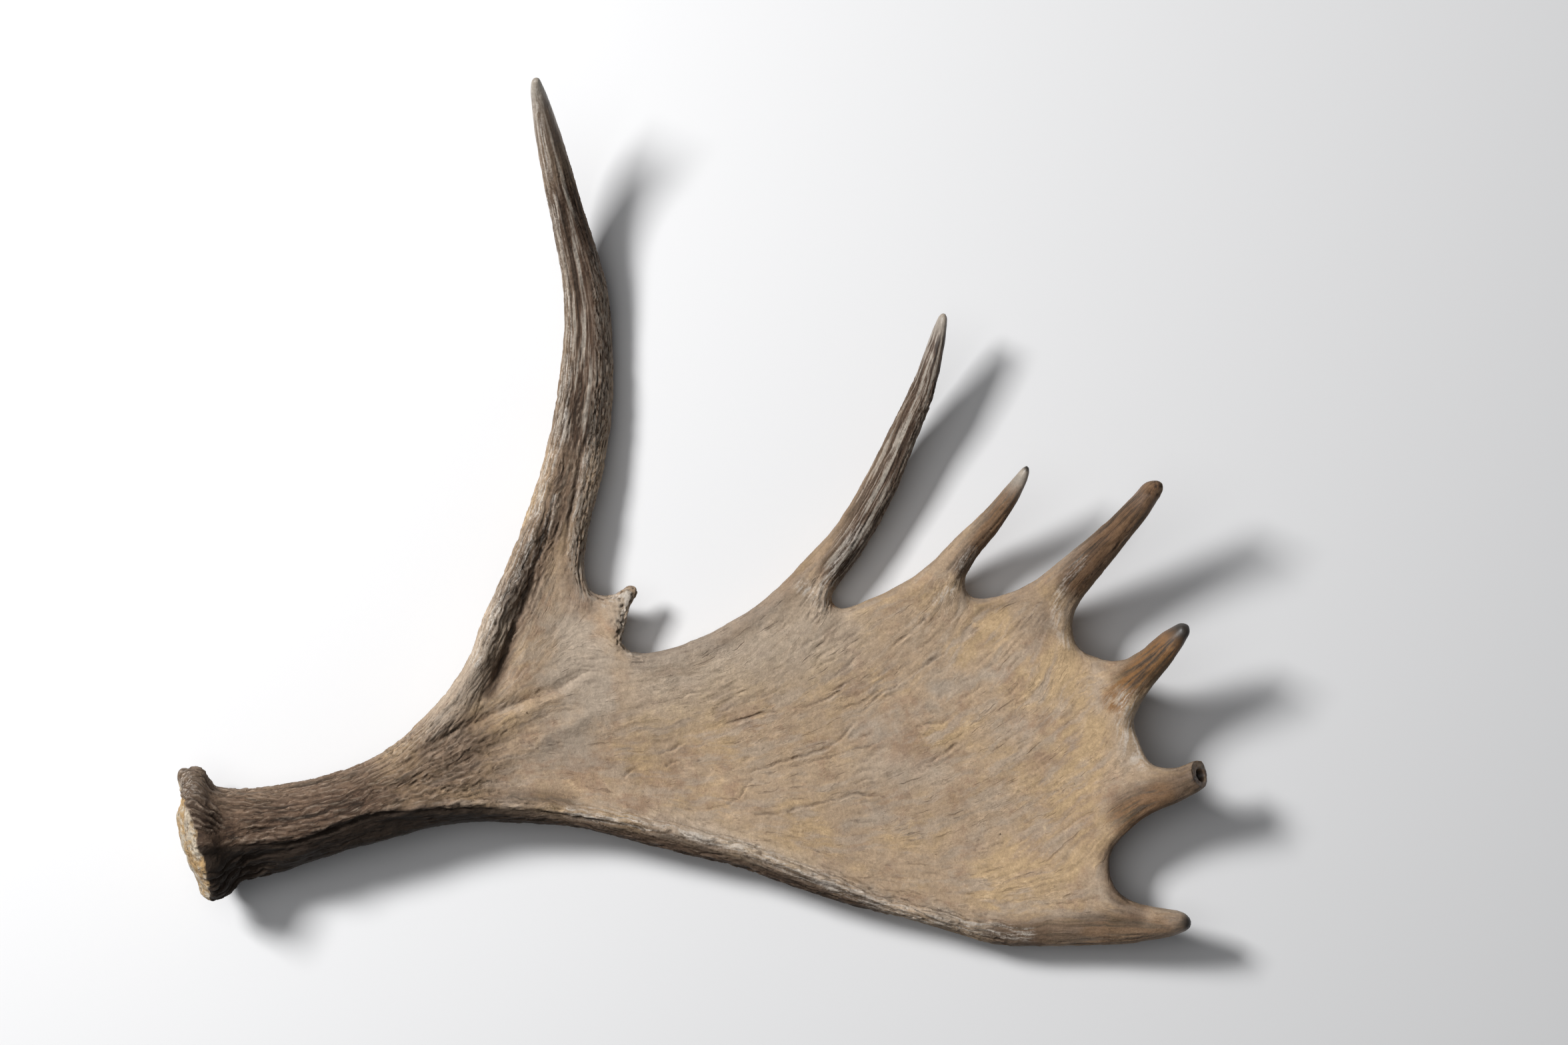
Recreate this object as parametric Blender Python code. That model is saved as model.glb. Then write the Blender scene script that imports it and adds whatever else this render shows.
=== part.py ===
"""A shed moose antler lying on its back: burr and beam, brow tine, and palm with its points.

The antler is first one closed skin. Its outline is a smooth line through points read off a
photograph taken from straight above. Over that outline a middle sheet rises and falls, and the
skin lies above and below it by half the bone's thickness. Knobs, ridges and grooves are added,
the skin is thinned to few faces, and two saw cuts part it at its main forks.
"""
import bpy
import bmesh
import numpy as np
from mathutils import Vector, geometry

MM = 0.001

# ---------------------------------------------------------------- driving dimensions (metres)

BEAM_RADIUS = 26 * MM            # the round beam, just past the burr
BURR_RADIUS = 42 * MM            # the ring of knobs at the antler's root
BURR_HEIGHT = 46.5 * MM          # of the burr's centre above the surface below
SEAL_BULGE = 13 * MM             # how far the domed seal stands past the ring
SAW_WIDTH = 0.3 * MM             # gap between the pieces at a fork

SKIN_STEP = 3 * MM               # spacing of the skin's points before it is thinned
EDGE_RINGS = (0.7 * MM, 1.8 * MM, 3.2 * MM)      # rows of points that follow the edge
OUTLINE_STEP = 3 * MM
FACES_KEPT = 9100                # triangles left after thinning

# ---------------------------------------------------------------- reading the photograph

PHOTO_SCALE = 0.45 * MM          # size of one pixel of the photograph, at SCALE_HEIGHT
SCALE_HEIGHT = 30 * MM
CAMERA_HEIGHT = 3000 * MM
PHOTO_CENTRE = (1176, 784)       # pixel straight below the camera
ORIGIN_PIXEL = (1038.0, 776.4)    # pixel at the middle of the antler's box

# The outline in pixels, clockwise as seen from above, from the root's upper end.
OUTLINE = {
    "beam, upper side": [
        (330, 1181), (400, 1181), (470, 1168), (540, 1146), (590, 1117), (640, 1072)],
    "brow tine, outer side": [
        (680, 1024), (706, 980), (724, 928), (758, 855), (783, 790), (808, 716), (826, 645),
        (838, 573), (845, 500), (844, 430), (834, 370), (819, 295), (804, 215), (797, 155)],
    "brow tine, tip and inner side": [
        (796, 127), (803, 113), (812, 122), (832, 172), (852, 233), (874, 310), (896, 378),
        (912, 438), (919, 510), (919, 605), (908, 693), (889, 768), (879, 815), (877, 860),
        (886, 886)],
    "snag": [
        (905, 893), (924, 890), (940, 879), (950, 877), (958, 888), (947, 908), (938, 938),
        (934, 966)],
    "bay": [
        (955, 979), (990, 977), (1030, 965), (1080, 942), (1130, 911)],
    "point 2": [
        (1168, 880), (1215, 831), (1256, 785), (1300, 712), (1340, 632), (1375, 558),
        (1402, 486), (1415, 467), (1421, 480), (1416, 525), (1400, 596), (1372, 668),
        (1338, 750), (1293, 829), (1254, 881)],
    "notch 2 to 3": [
        (1248, 902), (1264, 913), (1300, 901), (1345, 880)],
    "point 3": [
        (1390, 850), (1440, 800), (1482, 760), (1512, 726), (1537, 699), (1545, 704),
        (1534, 738), (1500, 793), (1462, 841), (1448, 872)],
    "notch 3 to 4": [
        (1454, 893), (1475, 898), (1515, 889), (1552, 871)],
    "point 4": [
        (1600, 833), (1650, 791), (1700, 743), (1716, 725), (1734, 720), (1746, 731),
        (1728, 765), (1692, 812), (1652, 862), (1617, 908)],
    "notch 4 to 5": [
        (1609, 943), (1619, 973), (1648, 987), (1680, 991), (1710, 977)],
    "point 5": [
        (1745, 948), (1773, 934), (1786, 942), (1780, 960), (1756, 996), (1730, 1028),
        (1709, 1060)],
    "notch 5 to 6": [
        (1701, 1085), (1710, 1115), (1728, 1146), (1760, 1152)],
    "point 6, broken": [
        (1790, 1142), (1806, 1137), (1816, 1150), (1812, 1174), (1800, 1187), (1765, 1205),
        (1722, 1224), (1685, 1255)],
    "notch 6 to 7": [
        (1666, 1283), (1667, 1318), (1683, 1343), (1710, 1356)],
    "point 7": [
        (1745, 1363), (1774, 1368), (1788, 1383), (1779, 1397), (1745, 1408), (1690, 1416),
        (1620, 1419)],
    "lower rim": [
        (1545, 1420), (1490, 1417), (1430, 1399), (1360, 1378), (1280, 1359), (1200, 1334),
        (1110, 1302), (1020, 1280), (930, 1256), (860, 1240), (780, 1235), (710, 1234)],
    "beam, lower side": [
        (650, 1242), (580, 1259), (490, 1284), (410, 1310), (345, 1331)],
    "burr": [
        (329, 1342), (316, 1352), (302, 1343), (295, 1325), (287, 1305), (277, 1278),
        (267, 1248), (263, 1222), (273, 1206), (275, 1190), (267, 1174), (276, 1161),
        (292, 1158), (309, 1170)],
}

# Points down the middle of each limb: pixel x, pixel y, height of the middle sheet in mm,
# and half the bone's thickness in mm.
LIMBS = {
    "beam": [(300, 1262, 46.5, 27), (360, 1252, 46, 27), (430, 1240, 45, 26), (560, 1195, 43, 24),
             (660, 1150, 40, 21)],
    "rim": [
        (800, 1212, 38, 13), (950, 1238, 34, 12), (1100, 1278, 31, 11), (1250, 1322, 28, 10),
        (1400, 1368, 26, 10), (1520, 1398, 25, 11)],
    "palm": [
        (760, 1110, 32, 14), (900, 1120, 21, 10), (1000, 1130, 15, 8.5), (1100, 1130, 10.5, 8),
        (1200, 1140, 8.5, 7.6), (1300, 1150, 7.8, 7.4), (1400, 1160, 9.5, 7),
        (1500, 1180, 15, 6.5), (1600, 1200, 26, 6.5)],
    "palm, below": [(1050, 1200, 20, 8), (1300, 1265, 13, 7), (1450, 1310, 14, 7), (1600, 1310, 28, 6.5)],
    "palm, above": [
        (960, 1040, 21, 8.5), (1150, 1010, 15, 8), (1300, 1010, 12.5, 7), (1450, 1010, 19, 6.5),
        (1580, 1050, 32, 6.5), (1660, 1100, 42, 6.5)],
    "bay": [(970, 990, 27, 8), (1070, 960, 23, 8)],
    "brow web": [(850, 1010, 26, 8.5), (850, 930, 24, 7.5), (835, 870, 23, 8.5), (905, 925, 27, 7),
                 (942, 890, 33, 5)],
    "brow ridge": [(690, 1050, 38, 18), (735, 960, 37, 16), (768, 880, 33, 15)],
    "brow tine": [
        (835, 780, 26, 14), (852, 700, 21, 15), (872, 620, 18, 16), (882, 540, 16.4, 16),
        (882, 460, 19, 15.5), (871, 380, 29, 14), (856, 320, 42, 12.5), (838, 250, 61, 10.5),
        (818, 180, 85, 8), (802, 118, 112, 4)],
    "point 2": [
        (1190, 900, 21, 10), (1245, 850, 20, 12), (1300, 770, 21, 12), (1350, 670, 27, 11),
        (1388, 575, 38, 9), (1414, 475, 54, 4.5)],
    "notch 2 to 3": [(1275, 925, 18, 7)],
    "point 3": [(1415, 885, 26, 8.5), (1455, 825, 37, 9), (1500, 765, 53, 7.5), (1539, 705, 71, 4)],
    "notch 3 to 4": [(1480, 910, 27, 6)],
    "point 4": [(1570, 920, 38, 8.5), (1625, 855, 53, 10.5), (1680, 790, 71, 10.5), (1730, 732, 91, 8)],
    "notch 4 to 5": [(1650, 1000, 44, 6)],
    "point 5": [(1685, 1025, 52, 9), (1728, 982, 67, 10.5), (1778, 944, 85, 6.5)],
    "notch 5 to 6": [(1705, 1125, 50, 6)],
    "point 6": [(1690, 1205, 45, 8.5), (1745, 1182, 54, 11), (1806, 1162, 64, 10.5)],
    "notch 6 to 7": [(1655, 1300, 36, 6)],
    "point 7": [(1600, 1392, 27, 11), (1680, 1390, 33, 12), (1745, 1385, 41, 11.5), (1783, 1385, 48, 6)],
}

# The burr is turned round the beam's axis: distance along the axis, then radius, both in mm.
BURR_PIXEL = (301, 1254)         # where the axis passes the ring's front
BURR_AIM_PIXEL = (640, 1178)     # a pixel further up the axis
BURR_PROFILE = [
    (-13, 1), (-12, 14), (-9, 26), (-5, 34), (-1, 39), (4, 42), (8, 40.5), (14, 36), (21, 32),
    (30, 29.5), (45, 27.5), (60, 26.5)]

# Knobs of the burr: angle round the axis from the photograph's side, place along the axis in
# mm, width in mm and how far each stands out in mm.
BURR_KNOBS = [
    (75, 6, 11, 6), (48, 8, 9, 5), (22, 7, 10, 5), (-6, 9, 9, 3.5), (-34, 8, 10, 5),
    (-62, 7, 9, 4), (-90, 8, 10, 5), (112, 7, 10, 5), (143, 8, 9, 4), (172, 7, 11, 5),
    (206, 8, 9, 4), (238, 7, 10, 5)]
BEAM_RIDGES = 11                 # long ridges counted once round the beam
BEAM_RIDGE_HEIGHT = 1.8 * MM

# Long forms on the side the photograph shows: width and height in mm (a groove is below
# nought), then pixels along its length.
UPPER_FORMS = {
    "gutter beside the brow ridge": (9, -8, [
        (812, 815), (790, 868), (768, 922), (753, 975), (745, 1020), (728, 1052)]),
    "brow ridge": (12, 5, [(800, 800), (762, 880), (728, 960), (696, 1026), (650, 1085)]),
    "rope at the brow web's edge": (8, 4, [(884, 775), (868, 815), (862, 855), (870, 900)]),
    "rope on the brow tine": (7, 2.5, [(862, 330), (893, 420), (900, 520), (895, 610), (880, 690)]),
    "groove of the brow tine": (6, -2.5, [(872, 430), (874, 520), (868, 610), (850, 700), (828, 780)]),
    "lower rim's crest": (6, 4, [
        (420, 1246), (520, 1216), (600, 1211), (727, 1204), (830, 1211), (900, 1222),
        (1000, 1241), (1100, 1266), (1200, 1304), (1332, 1356), (1461, 1388)]),
    "hollow inside the rim": (13, -3, [
        (860, 1180), (960, 1204), (1080, 1228), (1200, 1264), (1330, 1314)]),
    "upper fan ridge": (6, 2.5, [(540, 1170), (600, 1138), (660, 1098), (700, 1062)]),
    "middle fan ridge": (5, 2.5, [(560, 1185), (640, 1150), (700, 1122), (770, 1080), (850, 1040)]),
    "lower fan ridge": (6, 2, [(600, 1200), (700, 1165), (797, 1118), (873, 1080), (915, 1056)]),
    "vein 1": (4, -2.6, [(620, 1136), (680, 1098), (727, 1078), (767, 1058), (829, 1036), (893, 1000)]),
    "vein 2": (4, -2.4, [(935, 1166), (977, 1130), (1036, 1110), (1085, 1092), (1153, 1070), (1215, 1010)]),
    "vein 3": (4, -2.6, [
        (1040, 1190), (1137, 1153), (1183, 1139), (1245, 1118), (1291, 1080), (1344, 1022),
        (1425, 973), (1482, 942)]),
    "vein 4": (4, -2.4, [(1126, 1221), (1214, 1210), (1275, 1195), (1344, 1179), (1450, 1130), (1560, 1050)]),
    "vein 5": (4, -2, [(1174, 1240), (1290, 1250), (1420, 1240), (1540, 1205), (1640, 1190)]),
    "root of point 4": (8, 4.5, [(1655, 815), (1622, 850), (1595, 885), (1584, 935)]),
    "root of point 5": (8, 4, [(1720, 1000), (1690, 1040), (1683, 1085), (1690, 1120)]),
    "root of point 3": (7, 2.5, [(1470, 800), (1440, 840), (1432, 885)]),
    "root of point 2": (8, 2.5, [(1300, 790), (1255, 850), (1232, 890), (1225, 930)]),
}

# The same for the side turned down, which the photograph doesn't show.
LOWER_FORMS = {
    "back vein 1": (5, -2.5, [(640, 1150), (740, 1070), (800, 960), (840, 830), (870, 680)]),
    "back vein 2": (5, -2.5, [(720, 1150), (900, 1080), (1060, 1040), (1190, 950), (1280, 820)]),
    "back vein 3": (5, -2.5, [(760, 1180), (980, 1160), (1180, 1110), (1340, 1010), (1440, 880)]),
    "back vein 4": (5, -2.5, [(1000, 1200), (1220, 1180), (1420, 1100), (1560, 990), (1640, 860)]),
    "back vein 5": (5, -2.2, [(1060, 1230), (1300, 1240), (1500, 1180), (1640, 1090), (1740, 990)]),
    "back vein 6": (5, -2, [(1200, 1280), (1400, 1300), (1560, 1280), (1700, 1210)]),
}

# Saw cuts at the main forks: under the brow tine, and between the beam and the palm.
BROW_CUT = [(610, 1078), (760, 1036), (966, 980), (985, 940)]
PALM_CUT = [(760, 1036), (782, 1140), (792, 1262)]
CUT_HEIGHT = 200 * MM

COLOURS = {
    "beam": (0.235, 0.165, 0.115),
    "brow_tine": (0.27, 0.195, 0.135),
    "palm": (0.33, 0.255, 0.18),
}
ROUGHNESS = 0.62
SHARP_ANGLE = np.radians(50)     # edges sharper than this stay crisp, as at the saw cuts


# ---------------------------------------------------------------- from pixels to metres

def from_photo(pixels, height):
    """Points in metres, for pixels whose points lie at the given height."""
    pixels = np.asarray(pixels, float)
    spread = (CAMERA_HEIGHT - height) / (CAMERA_HEIGHT - SCALE_HEIGHT) * PHOTO_SCALE
    centre = (np.array(PHOTO_CENTRE) - ORIGIN_PIXEL) * PHOTO_SCALE
    x = (pixels[:, 0] - PHOTO_CENTRE[0]) * spread + centre[0]
    y = -(pixels[:, 1] - PHOTO_CENTRE[1]) * spread - centre[1]
    return np.column_stack([x, y])


def plate_kernel(sites, points):
    """The thin plate's own curve of distance, between every point and every site."""
    distance = np.linalg.norm(points[:, None] - sites[None], axis=2)
    return distance ** 2 * np.log(np.maximum(distance, 1e-9))


def thin_plate(sites, values):
    """A function that bends smoothly through the given values, as a thin plate does."""
    count = len(sites)
    border = np.column_stack([np.ones(count), sites])
    system = np.zeros((count + 3, count + 3))
    system[:count, :count] = plate_kernel(sites, sites)
    system[:count, count:] = border
    system[count:, :count] = border.T
    weights = np.linalg.solve(system, np.vstack([values, np.zeros((3, values.shape[1]))]))

    def plate(points):
        flat = np.column_stack([np.ones(len(points)), points])
        return plate_kernel(sites, points) @ weights[:count] + flat @ weights[count:]

    return plate


def middle_sheet():
    """Height of the middle sheet and half thickness, as one function of a plan point."""
    rows = np.array([row for limb in LIMBS.values() for row in limb], float)
    heights = rows[:, 2] * MM
    return thin_plate(from_photo(rows[:, :2], heights), rows[:, 2:] * MM)


def traced(pixels, sheet):
    """Plan points of pixels that lie on the middle sheet, seen in perspective."""
    pixels = np.asarray(pixels, float)
    height = np.full(len(pixels), SCALE_HEIGHT)
    for _ in range(3):
        plan = from_photo(pixels, height)
        height = sheet(plan)[:, 0]
    return plan


# ---------------------------------------------------------------- lines

def resample(line, step):
    """Points evenly spaced along a polyline, both of its ends kept."""
    lengths = np.linalg.norm(np.diff(line, axis=0), axis=1)
    along = np.concatenate([[0], np.cumsum(lengths)])
    places = np.linspace(0, along[-1], max(int(along[-1] / step), 2))
    return np.column_stack([np.interp(places, along, column) for column in line.T])


def smooth_line(points, closed=False, parts=12):
    """A Catmull-Rom curve through the points."""
    if closed:
        padded = np.vstack([points[-1:], points, points[:2]])
    else:
        padded = np.vstack([2 * points[0] - points[1], points, 2 * points[-1] - points[-2]])
    t = np.linspace(0, 1, parts, endpoint=False)[:, None]
    pieces = []
    for a, b, c, d in zip(padded, padded[1:], padded[2:], padded[3:]):
        pieces.append(b + 0.5 * t * (c - a) + t ** 2 * (a - 2.5 * b + 2 * c - 0.5 * d)
                      + 0.5 * t ** 3 * (3 * b - a - 3 * c + d))
    pieces.append(padded[-2:-1])
    return np.vstack(pieces)


def outline_points(sheet):
    """The closed outline, evenly spaced, without its doubled end point."""
    pixels = [pixel for section in OUTLINE.values() for pixel in section]
    return resample(smooth_line(traced(pixels, sheet), closed=True), OUTLINE_STEP)[:-1]


def to_line(points, line, chunk=2000):
    """Distance from each point to a polyline."""
    start = line[:-1]
    run = line[1:] - start
    length2 = np.maximum((run ** 2).sum(1), 1e-18)
    result = np.empty(len(points))
    for first in range(0, len(points), chunk):
        offset = points[first:first + chunk, None] - start[None]
        t = np.clip((offset * run).sum(2) / length2, 0, 1)
        result[first:first + chunk] = np.linalg.norm(offset - t[..., None] * run, axis=2).min(1)
    return result


def inside(points, polygon):
    """Which points lie inside a closed polygon, by counting crossings."""
    x, y = points.T
    result = np.zeros(len(points), bool)
    for (x1, y1), (x2, y2) in zip(polygon, np.roll(polygon, -1, axis=0)):
        if y1 == y2:
            continue
        crosses = ((y1 > y) != (y2 > y)) & (x < (x2 - x1) * (y - y1) / (y2 - y1) + x1)
        result ^= crosses
    return result


# ---------------------------------------------------------------- the skin

def plan_points(outline):
    """Outline points first, then rows that follow the edge, then an even field inside."""
    closed = np.vstack([outline, outline[:1]])
    tangent = np.roll(outline, -1, axis=0) - np.roll(outline, 1, axis=0)
    inward = np.column_stack([tangent[:, 1], -tangent[:, 0]])
    inward /= np.linalg.norm(inward, axis=1)[:, None]
    rows = [outline]
    for depth in EDGE_RINGS:
        row = outline + inward * depth
        kept = inside(row, outline) & (to_line(row, closed) > 0.97 * depth)
        rows.append(row[kept])
    low = outline.min(0)
    high = outline.max(0)
    row_gap = SKIN_STEP * 0.75 ** 0.5
    field = []
    for number, y in enumerate(np.arange(low[1], high[1], row_gap)):
        x = np.arange(low[0] + SKIN_STEP / 2 * (number % 2), high[0], SKIN_STEP)
        field.append(np.column_stack([x, np.full(len(x), y)]))
    field = np.vstack(field)
    field = field[inside(field, outline)]
    rows.append(field[to_line(field, closed) > EDGE_RINGS[-1] + 0.6 * SKIN_STEP])
    return np.vstack(rows)


def burr_axis():
    """The burr's centre and the direction of its axis, in plan."""
    centre, aim = from_photo([BURR_PIXEL, BURR_AIM_PIXEL], BURR_HEIGHT)
    direction = (aim - centre) / np.linalg.norm(aim - centre)
    return centre, direction


def half_thickness(plan, edge_distance, thickness, slope):
    """Half the bone's height above or below the middle sheet, round at the edges."""
    depth = np.minimum(edge_distance / thickness, 1)
    body = thickness * np.sqrt(1 - (1 - depth) ** 2) * slope
    centre, direction = burr_axis()
    along = (plan - centre) @ direction
    across = (plan - centre) @ np.array([-direction[1], direction[0]])
    profile = np.array(BURR_PROFILE) * MM
    radius = np.interp(along, profile[:, 0], profile[:, 1], left=MM)
    burr = np.sqrt(np.maximum(radius ** 2 - across ** 2, 0))
    near_burr = np.clip((profile[-1, 0] - along) / (26 * MM), 0, 1)
    edge_fade = np.sqrt(np.clip(edge_distance / (3 * MM), 0, 1))
    return body * (1 - near_burr) + np.maximum(burr, 0.4 * body) * near_burr * edge_fade


def form_height(plan, forms, sheet):
    """Summed height of the long ridges and grooves at each plan point."""
    total = np.zeros(len(plan))
    for width, height, pixels in forms.values():
        line = resample(smooth_line(traced(pixels, sheet)), 4 * MM)
        near = to_line(plan, line) / (width * MM)
        ends = np.minimum(np.linalg.norm(plan - line[0], axis=1), np.linalg.norm(plan - line[-1], axis=1))
        fade = np.clip(ends / (4 * width * MM), 0.35, 1)
        total += height * MM * fade * np.exp(-near ** 2)
    return total


def skin(sheet):
    """The whole antler as one closed mesh: points, and triangles that face outward."""
    outline = outline_points(sheet)
    plan = plan_points(outline)
    rim = len(outline)
    edges = [(i, (i + 1) % rim) for i in range(rim)]
    result = geometry.delaunay_2d_cdt([Vector(p) for p in plan], edges, [], 1, 1e-7)
    triangles = np.array(result[2])
    plan = np.array([tuple(p) for p in result[0]])
    a, b, c = (plan[triangles[:, i]] for i in range(3))
    turn = (b - a)[:, 0] * (c - a)[:, 1] - (b - a)[:, 1] * (c - a)[:, 0]
    triangles[turn < 0] = triangles[turn < 0][:, ::-1]

    edge_distance = to_line(plan, np.vstack([outline, outline[:1]]))
    on_rim = edge_distance < 1e-6
    middle, thickness = sheet(plan).T
    probe = 1 * MM
    slope_x = (sheet(plan + (probe, 0))[:, 0] - middle) / probe
    slope_y = (sheet(plan + (0, probe))[:, 0] - middle) / probe
    slope = np.sqrt(1 + slope_x ** 2 + slope_y ** 2)
    half = half_thickness(plan, edge_distance, np.maximum(thickness, 3.5 * MM), slope)
    room = np.clip(half / (8 * MM), 0, 1)
    upper = middle + np.maximum(half + form_height(plan, UPPER_FORMS, sheet) * room, 0.25 * half)
    lower = middle - np.maximum(half + form_height(plan, LOWER_FORMS, sheet) * room, 0.25 * half)
    upper[on_rim] = middle[on_rim]

    top = np.column_stack([plan, upper])
    under = np.column_stack([plan, lower])[~on_rim]
    below = np.arange(len(plan))
    below[~on_rim] = len(plan) + np.arange(len(under))
    return np.vstack([top, under]), np.vstack([triangles, below[triangles][:, ::-1]])


def dress_burr(mesh):
    """Stand the knobs out of the burr, and raise long wavy ridges along the beam."""
    count = len(mesh.vertices)
    points = np.empty(count * 3)
    normals = np.empty(count * 3)
    mesh.vertices.foreach_get("co", points)
    mesh.vertices.foreach_get("normal", normals)
    points = points.reshape(-1, 3)
    normals = normals.reshape(-1, 3)
    centre, direction = burr_axis()
    side = np.array([-direction[1], direction[0]])
    offset = points[:, :2] - centre
    along = offset @ direction
    across = offset @ side
    rise = points[:, 2] - BURR_HEIGHT
    angle = np.arctan2(across, rise)

    shift = np.zeros(count)
    for knob_angle, place, width, height in BURR_KNOBS:
        turn = np.radians(knob_angle)
        knob = np.column_stack([along - place * MM,
                                across - BURR_RADIUS * np.sin(turn),
                                rise - BURR_RADIUS * np.cos(turn)])
        shift += height * MM * np.exp(-((knob ** 2).sum(1) / (width * MM) ** 2) ** 1.5)
    reach = np.clip((along - 18 * MM) / (10 * MM), 0, 1) * np.clip((190 * MM - along) / (60 * MM), 0, 1)
    wander = 0.9 * np.sin(along / (31 * MM)) + 0.5 * np.sin(along / (13 * MM) + 2 * angle)
    ridge = np.abs(np.sin(BEAM_RIDGES / 2 * angle + wander)) - 0.6
    shift += BEAM_RIDGE_HEIGHT * ridge * reach
    mesh.vertices.foreach_set("co", (points + normals * shift[:, None]).ravel())
    mesh.update()


# ---------------------------------------------------------------- thinning and sawing

def evaluated_copy(obj, name):
    """A mesh with the object's modifiers applied."""
    graph = bpy.context.evaluated_depsgraph_get()
    mesh = bpy.data.meshes.new_from_object(obj.evaluated_get(graph))
    mesh.name = name
    return mesh


def saw(name, pixels, sheet):
    """A thin upright wall along a line of pixels, as wide as the saw's cut."""
    line = traced(pixels, sheet)
    tangent = np.gradient(line, axis=0)
    side = np.column_stack([-tangent[:, 1], tangent[:, 0]])
    side *= SAW_WIDTH / 2 / np.linalg.norm(side, axis=1)[:, None]
    loop = np.vstack([line + side, (line - side)[::-1]])
    bm = bmesh.new()
    floor = [bm.verts.new((x, y, -CUT_HEIGHT)) for x, y in loop]
    face = bm.faces.new(floor)
    raised = bmesh.ops.extrude_face_region(bm, geom=[face])
    lifted = [v for v in raised["geom"] if isinstance(v, bmesh.types.BMVert)]
    bmesh.ops.translate(bm, verts=lifted, vec=(0, 0, 2 * CUT_HEIGHT))
    bmesh.ops.recalc_face_normals(bm, faces=bm.faces)
    mesh = bpy.data.meshes.new(name)
    bm.to_mesh(mesh)
    bm.free()
    obj = bpy.data.objects.new(name, mesh)
    obj.hide_render = True
    obj.display_type = "WIRE"
    bpy.context.collection.objects.link(obj)
    return obj


def islands(mesh):
    """The vertex indices of each separate body in a mesh."""
    parent = list(range(len(mesh.vertices)))

    def root(i):
        while parent[i] != i:
            parent[i] = parent[parent[i]]
            i = parent[i]
        return i

    for edge in mesh.edges:
        a, b = (root(i) for i in edge.vertices)
        parent[a] = b
    groups = {}
    for i in parent:
        groups.setdefault(root(i), None)
    groups = {key: [] for key in groups}
    for i in range(len(parent)):
        groups[root(i)].append(i)
    return sorted(groups.values(), key=len, reverse=True)


def island_mesh(mesh, kept, name):
    """A new mesh with only the kept vertices."""
    bm = bmesh.new()
    bm.from_mesh(mesh)
    bm.verts.ensure_lookup_table()
    kept = set(kept)
    bmesh.ops.delete(bm, geom=[v for v in bm.verts if v.index not in kept], context="VERTS")
    bmesh.ops.triangulate(bm, faces=bm.faces)
    part = bpy.data.meshes.new(name)
    bm.to_mesh(part)
    bm.free()
    return part


def set_down(mesh):
    """Move the skin so that it rests on the ground with its box centred on the origin."""
    points = np.empty(len(mesh.vertices) * 3)
    mesh.vertices.foreach_get("co", points)
    points = points.reshape(-1, 3)
    low = points.min(0)
    high = points.max(0)
    points -= ((low[0] + high[0]) / 2, (low[1] + high[1]) / 2, low[2])
    mesh.vertices.foreach_set("co", points.ravel())
    mesh.update()


def material(name):
    """Bone in the piece's own colour."""
    finish = bpy.data.materials.new(name)
    finish.use_nodes = True
    shader = finish.node_tree.nodes["Principled BSDF"]
    shader.inputs["Base Color"].default_value = (*COLOURS[name], 1)
    shader.inputs["Roughness"].default_value = ROUGHNESS
    shader.inputs["Metallic"].default_value = 0.0
    return finish


def place_pieces(mesh):
    """One object for each piece: the beam is furthest left, the brow tine reaches highest up."""
    bodies = islands(mesh)[:3]
    corners = np.array([tuple(v.co) for v in mesh.vertices])
    leftmost = min(bodies, key=lambda body: corners[body, 0].min())
    furthest = max(bodies, key=lambda body: corners[body, 1].max())
    rest = [body for body in bodies if body is not leftmost and body is not furthest][0]
    for name, body in (("beam", leftmost), ("brow_tine", furthest), ("palm", rest)):
        part = island_mesh(mesh, body, name)
        part.materials.clear()
        part.materials.append(material(name))
        part.shade_smooth()
        part.set_sharp_from_angle(angle=SHARP_ANGLE)
        obj = bpy.data.objects.new(name, part)
        bpy.context.collection.objects.link(obj)


def main():
    for obj in list(bpy.data.objects):
        bpy.data.objects.remove(obj, do_unlink=True)
    sheet = middle_sheet()
    points, triangles = skin(sheet)
    mesh = bpy.data.meshes.new("antler")
    mesh.from_pydata(points.tolist(), [], triangles.tolist())
    mesh.update()
    dress_burr(mesh)
    antler = bpy.data.objects.new("antler", mesh)
    bpy.context.collection.objects.link(antler)

    thinning = antler.modifiers.new("thinning", "DECIMATE")
    thinning.ratio = FACES_KEPT / len(triangles)
    thinning.use_collapse_triangulate = True
    for name, pixels in (("brow cut", BROW_CUT), ("palm cut", PALM_CUT)):
        cut = antler.modifiers.new(name, "BOOLEAN")
        cut.operation = "DIFFERENCE"
        cut.object = saw(name, pixels, sheet)
    sawn = evaluated_copy(antler, "sawn antler")
    bpy.data.objects.remove(antler, do_unlink=True)
    set_down(sawn)
    place_pieces(sawn)


main()
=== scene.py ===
# %% [markdown]
# # A shed moose antler
#
# An antler is bone that grew fast under furry skin. The blood vessels in that skin left grooves
# in it, and they all run the way the antler grew: along the beam, out over the palm, and into
# every point. When the skin dried and was rubbed off, the bone stained brown, and the high
# places wore pale. So this lesson first works out the growth lines, and then lets them steer
# both the carving and the colour.

# %% Load the solid antler
import itertools

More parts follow.
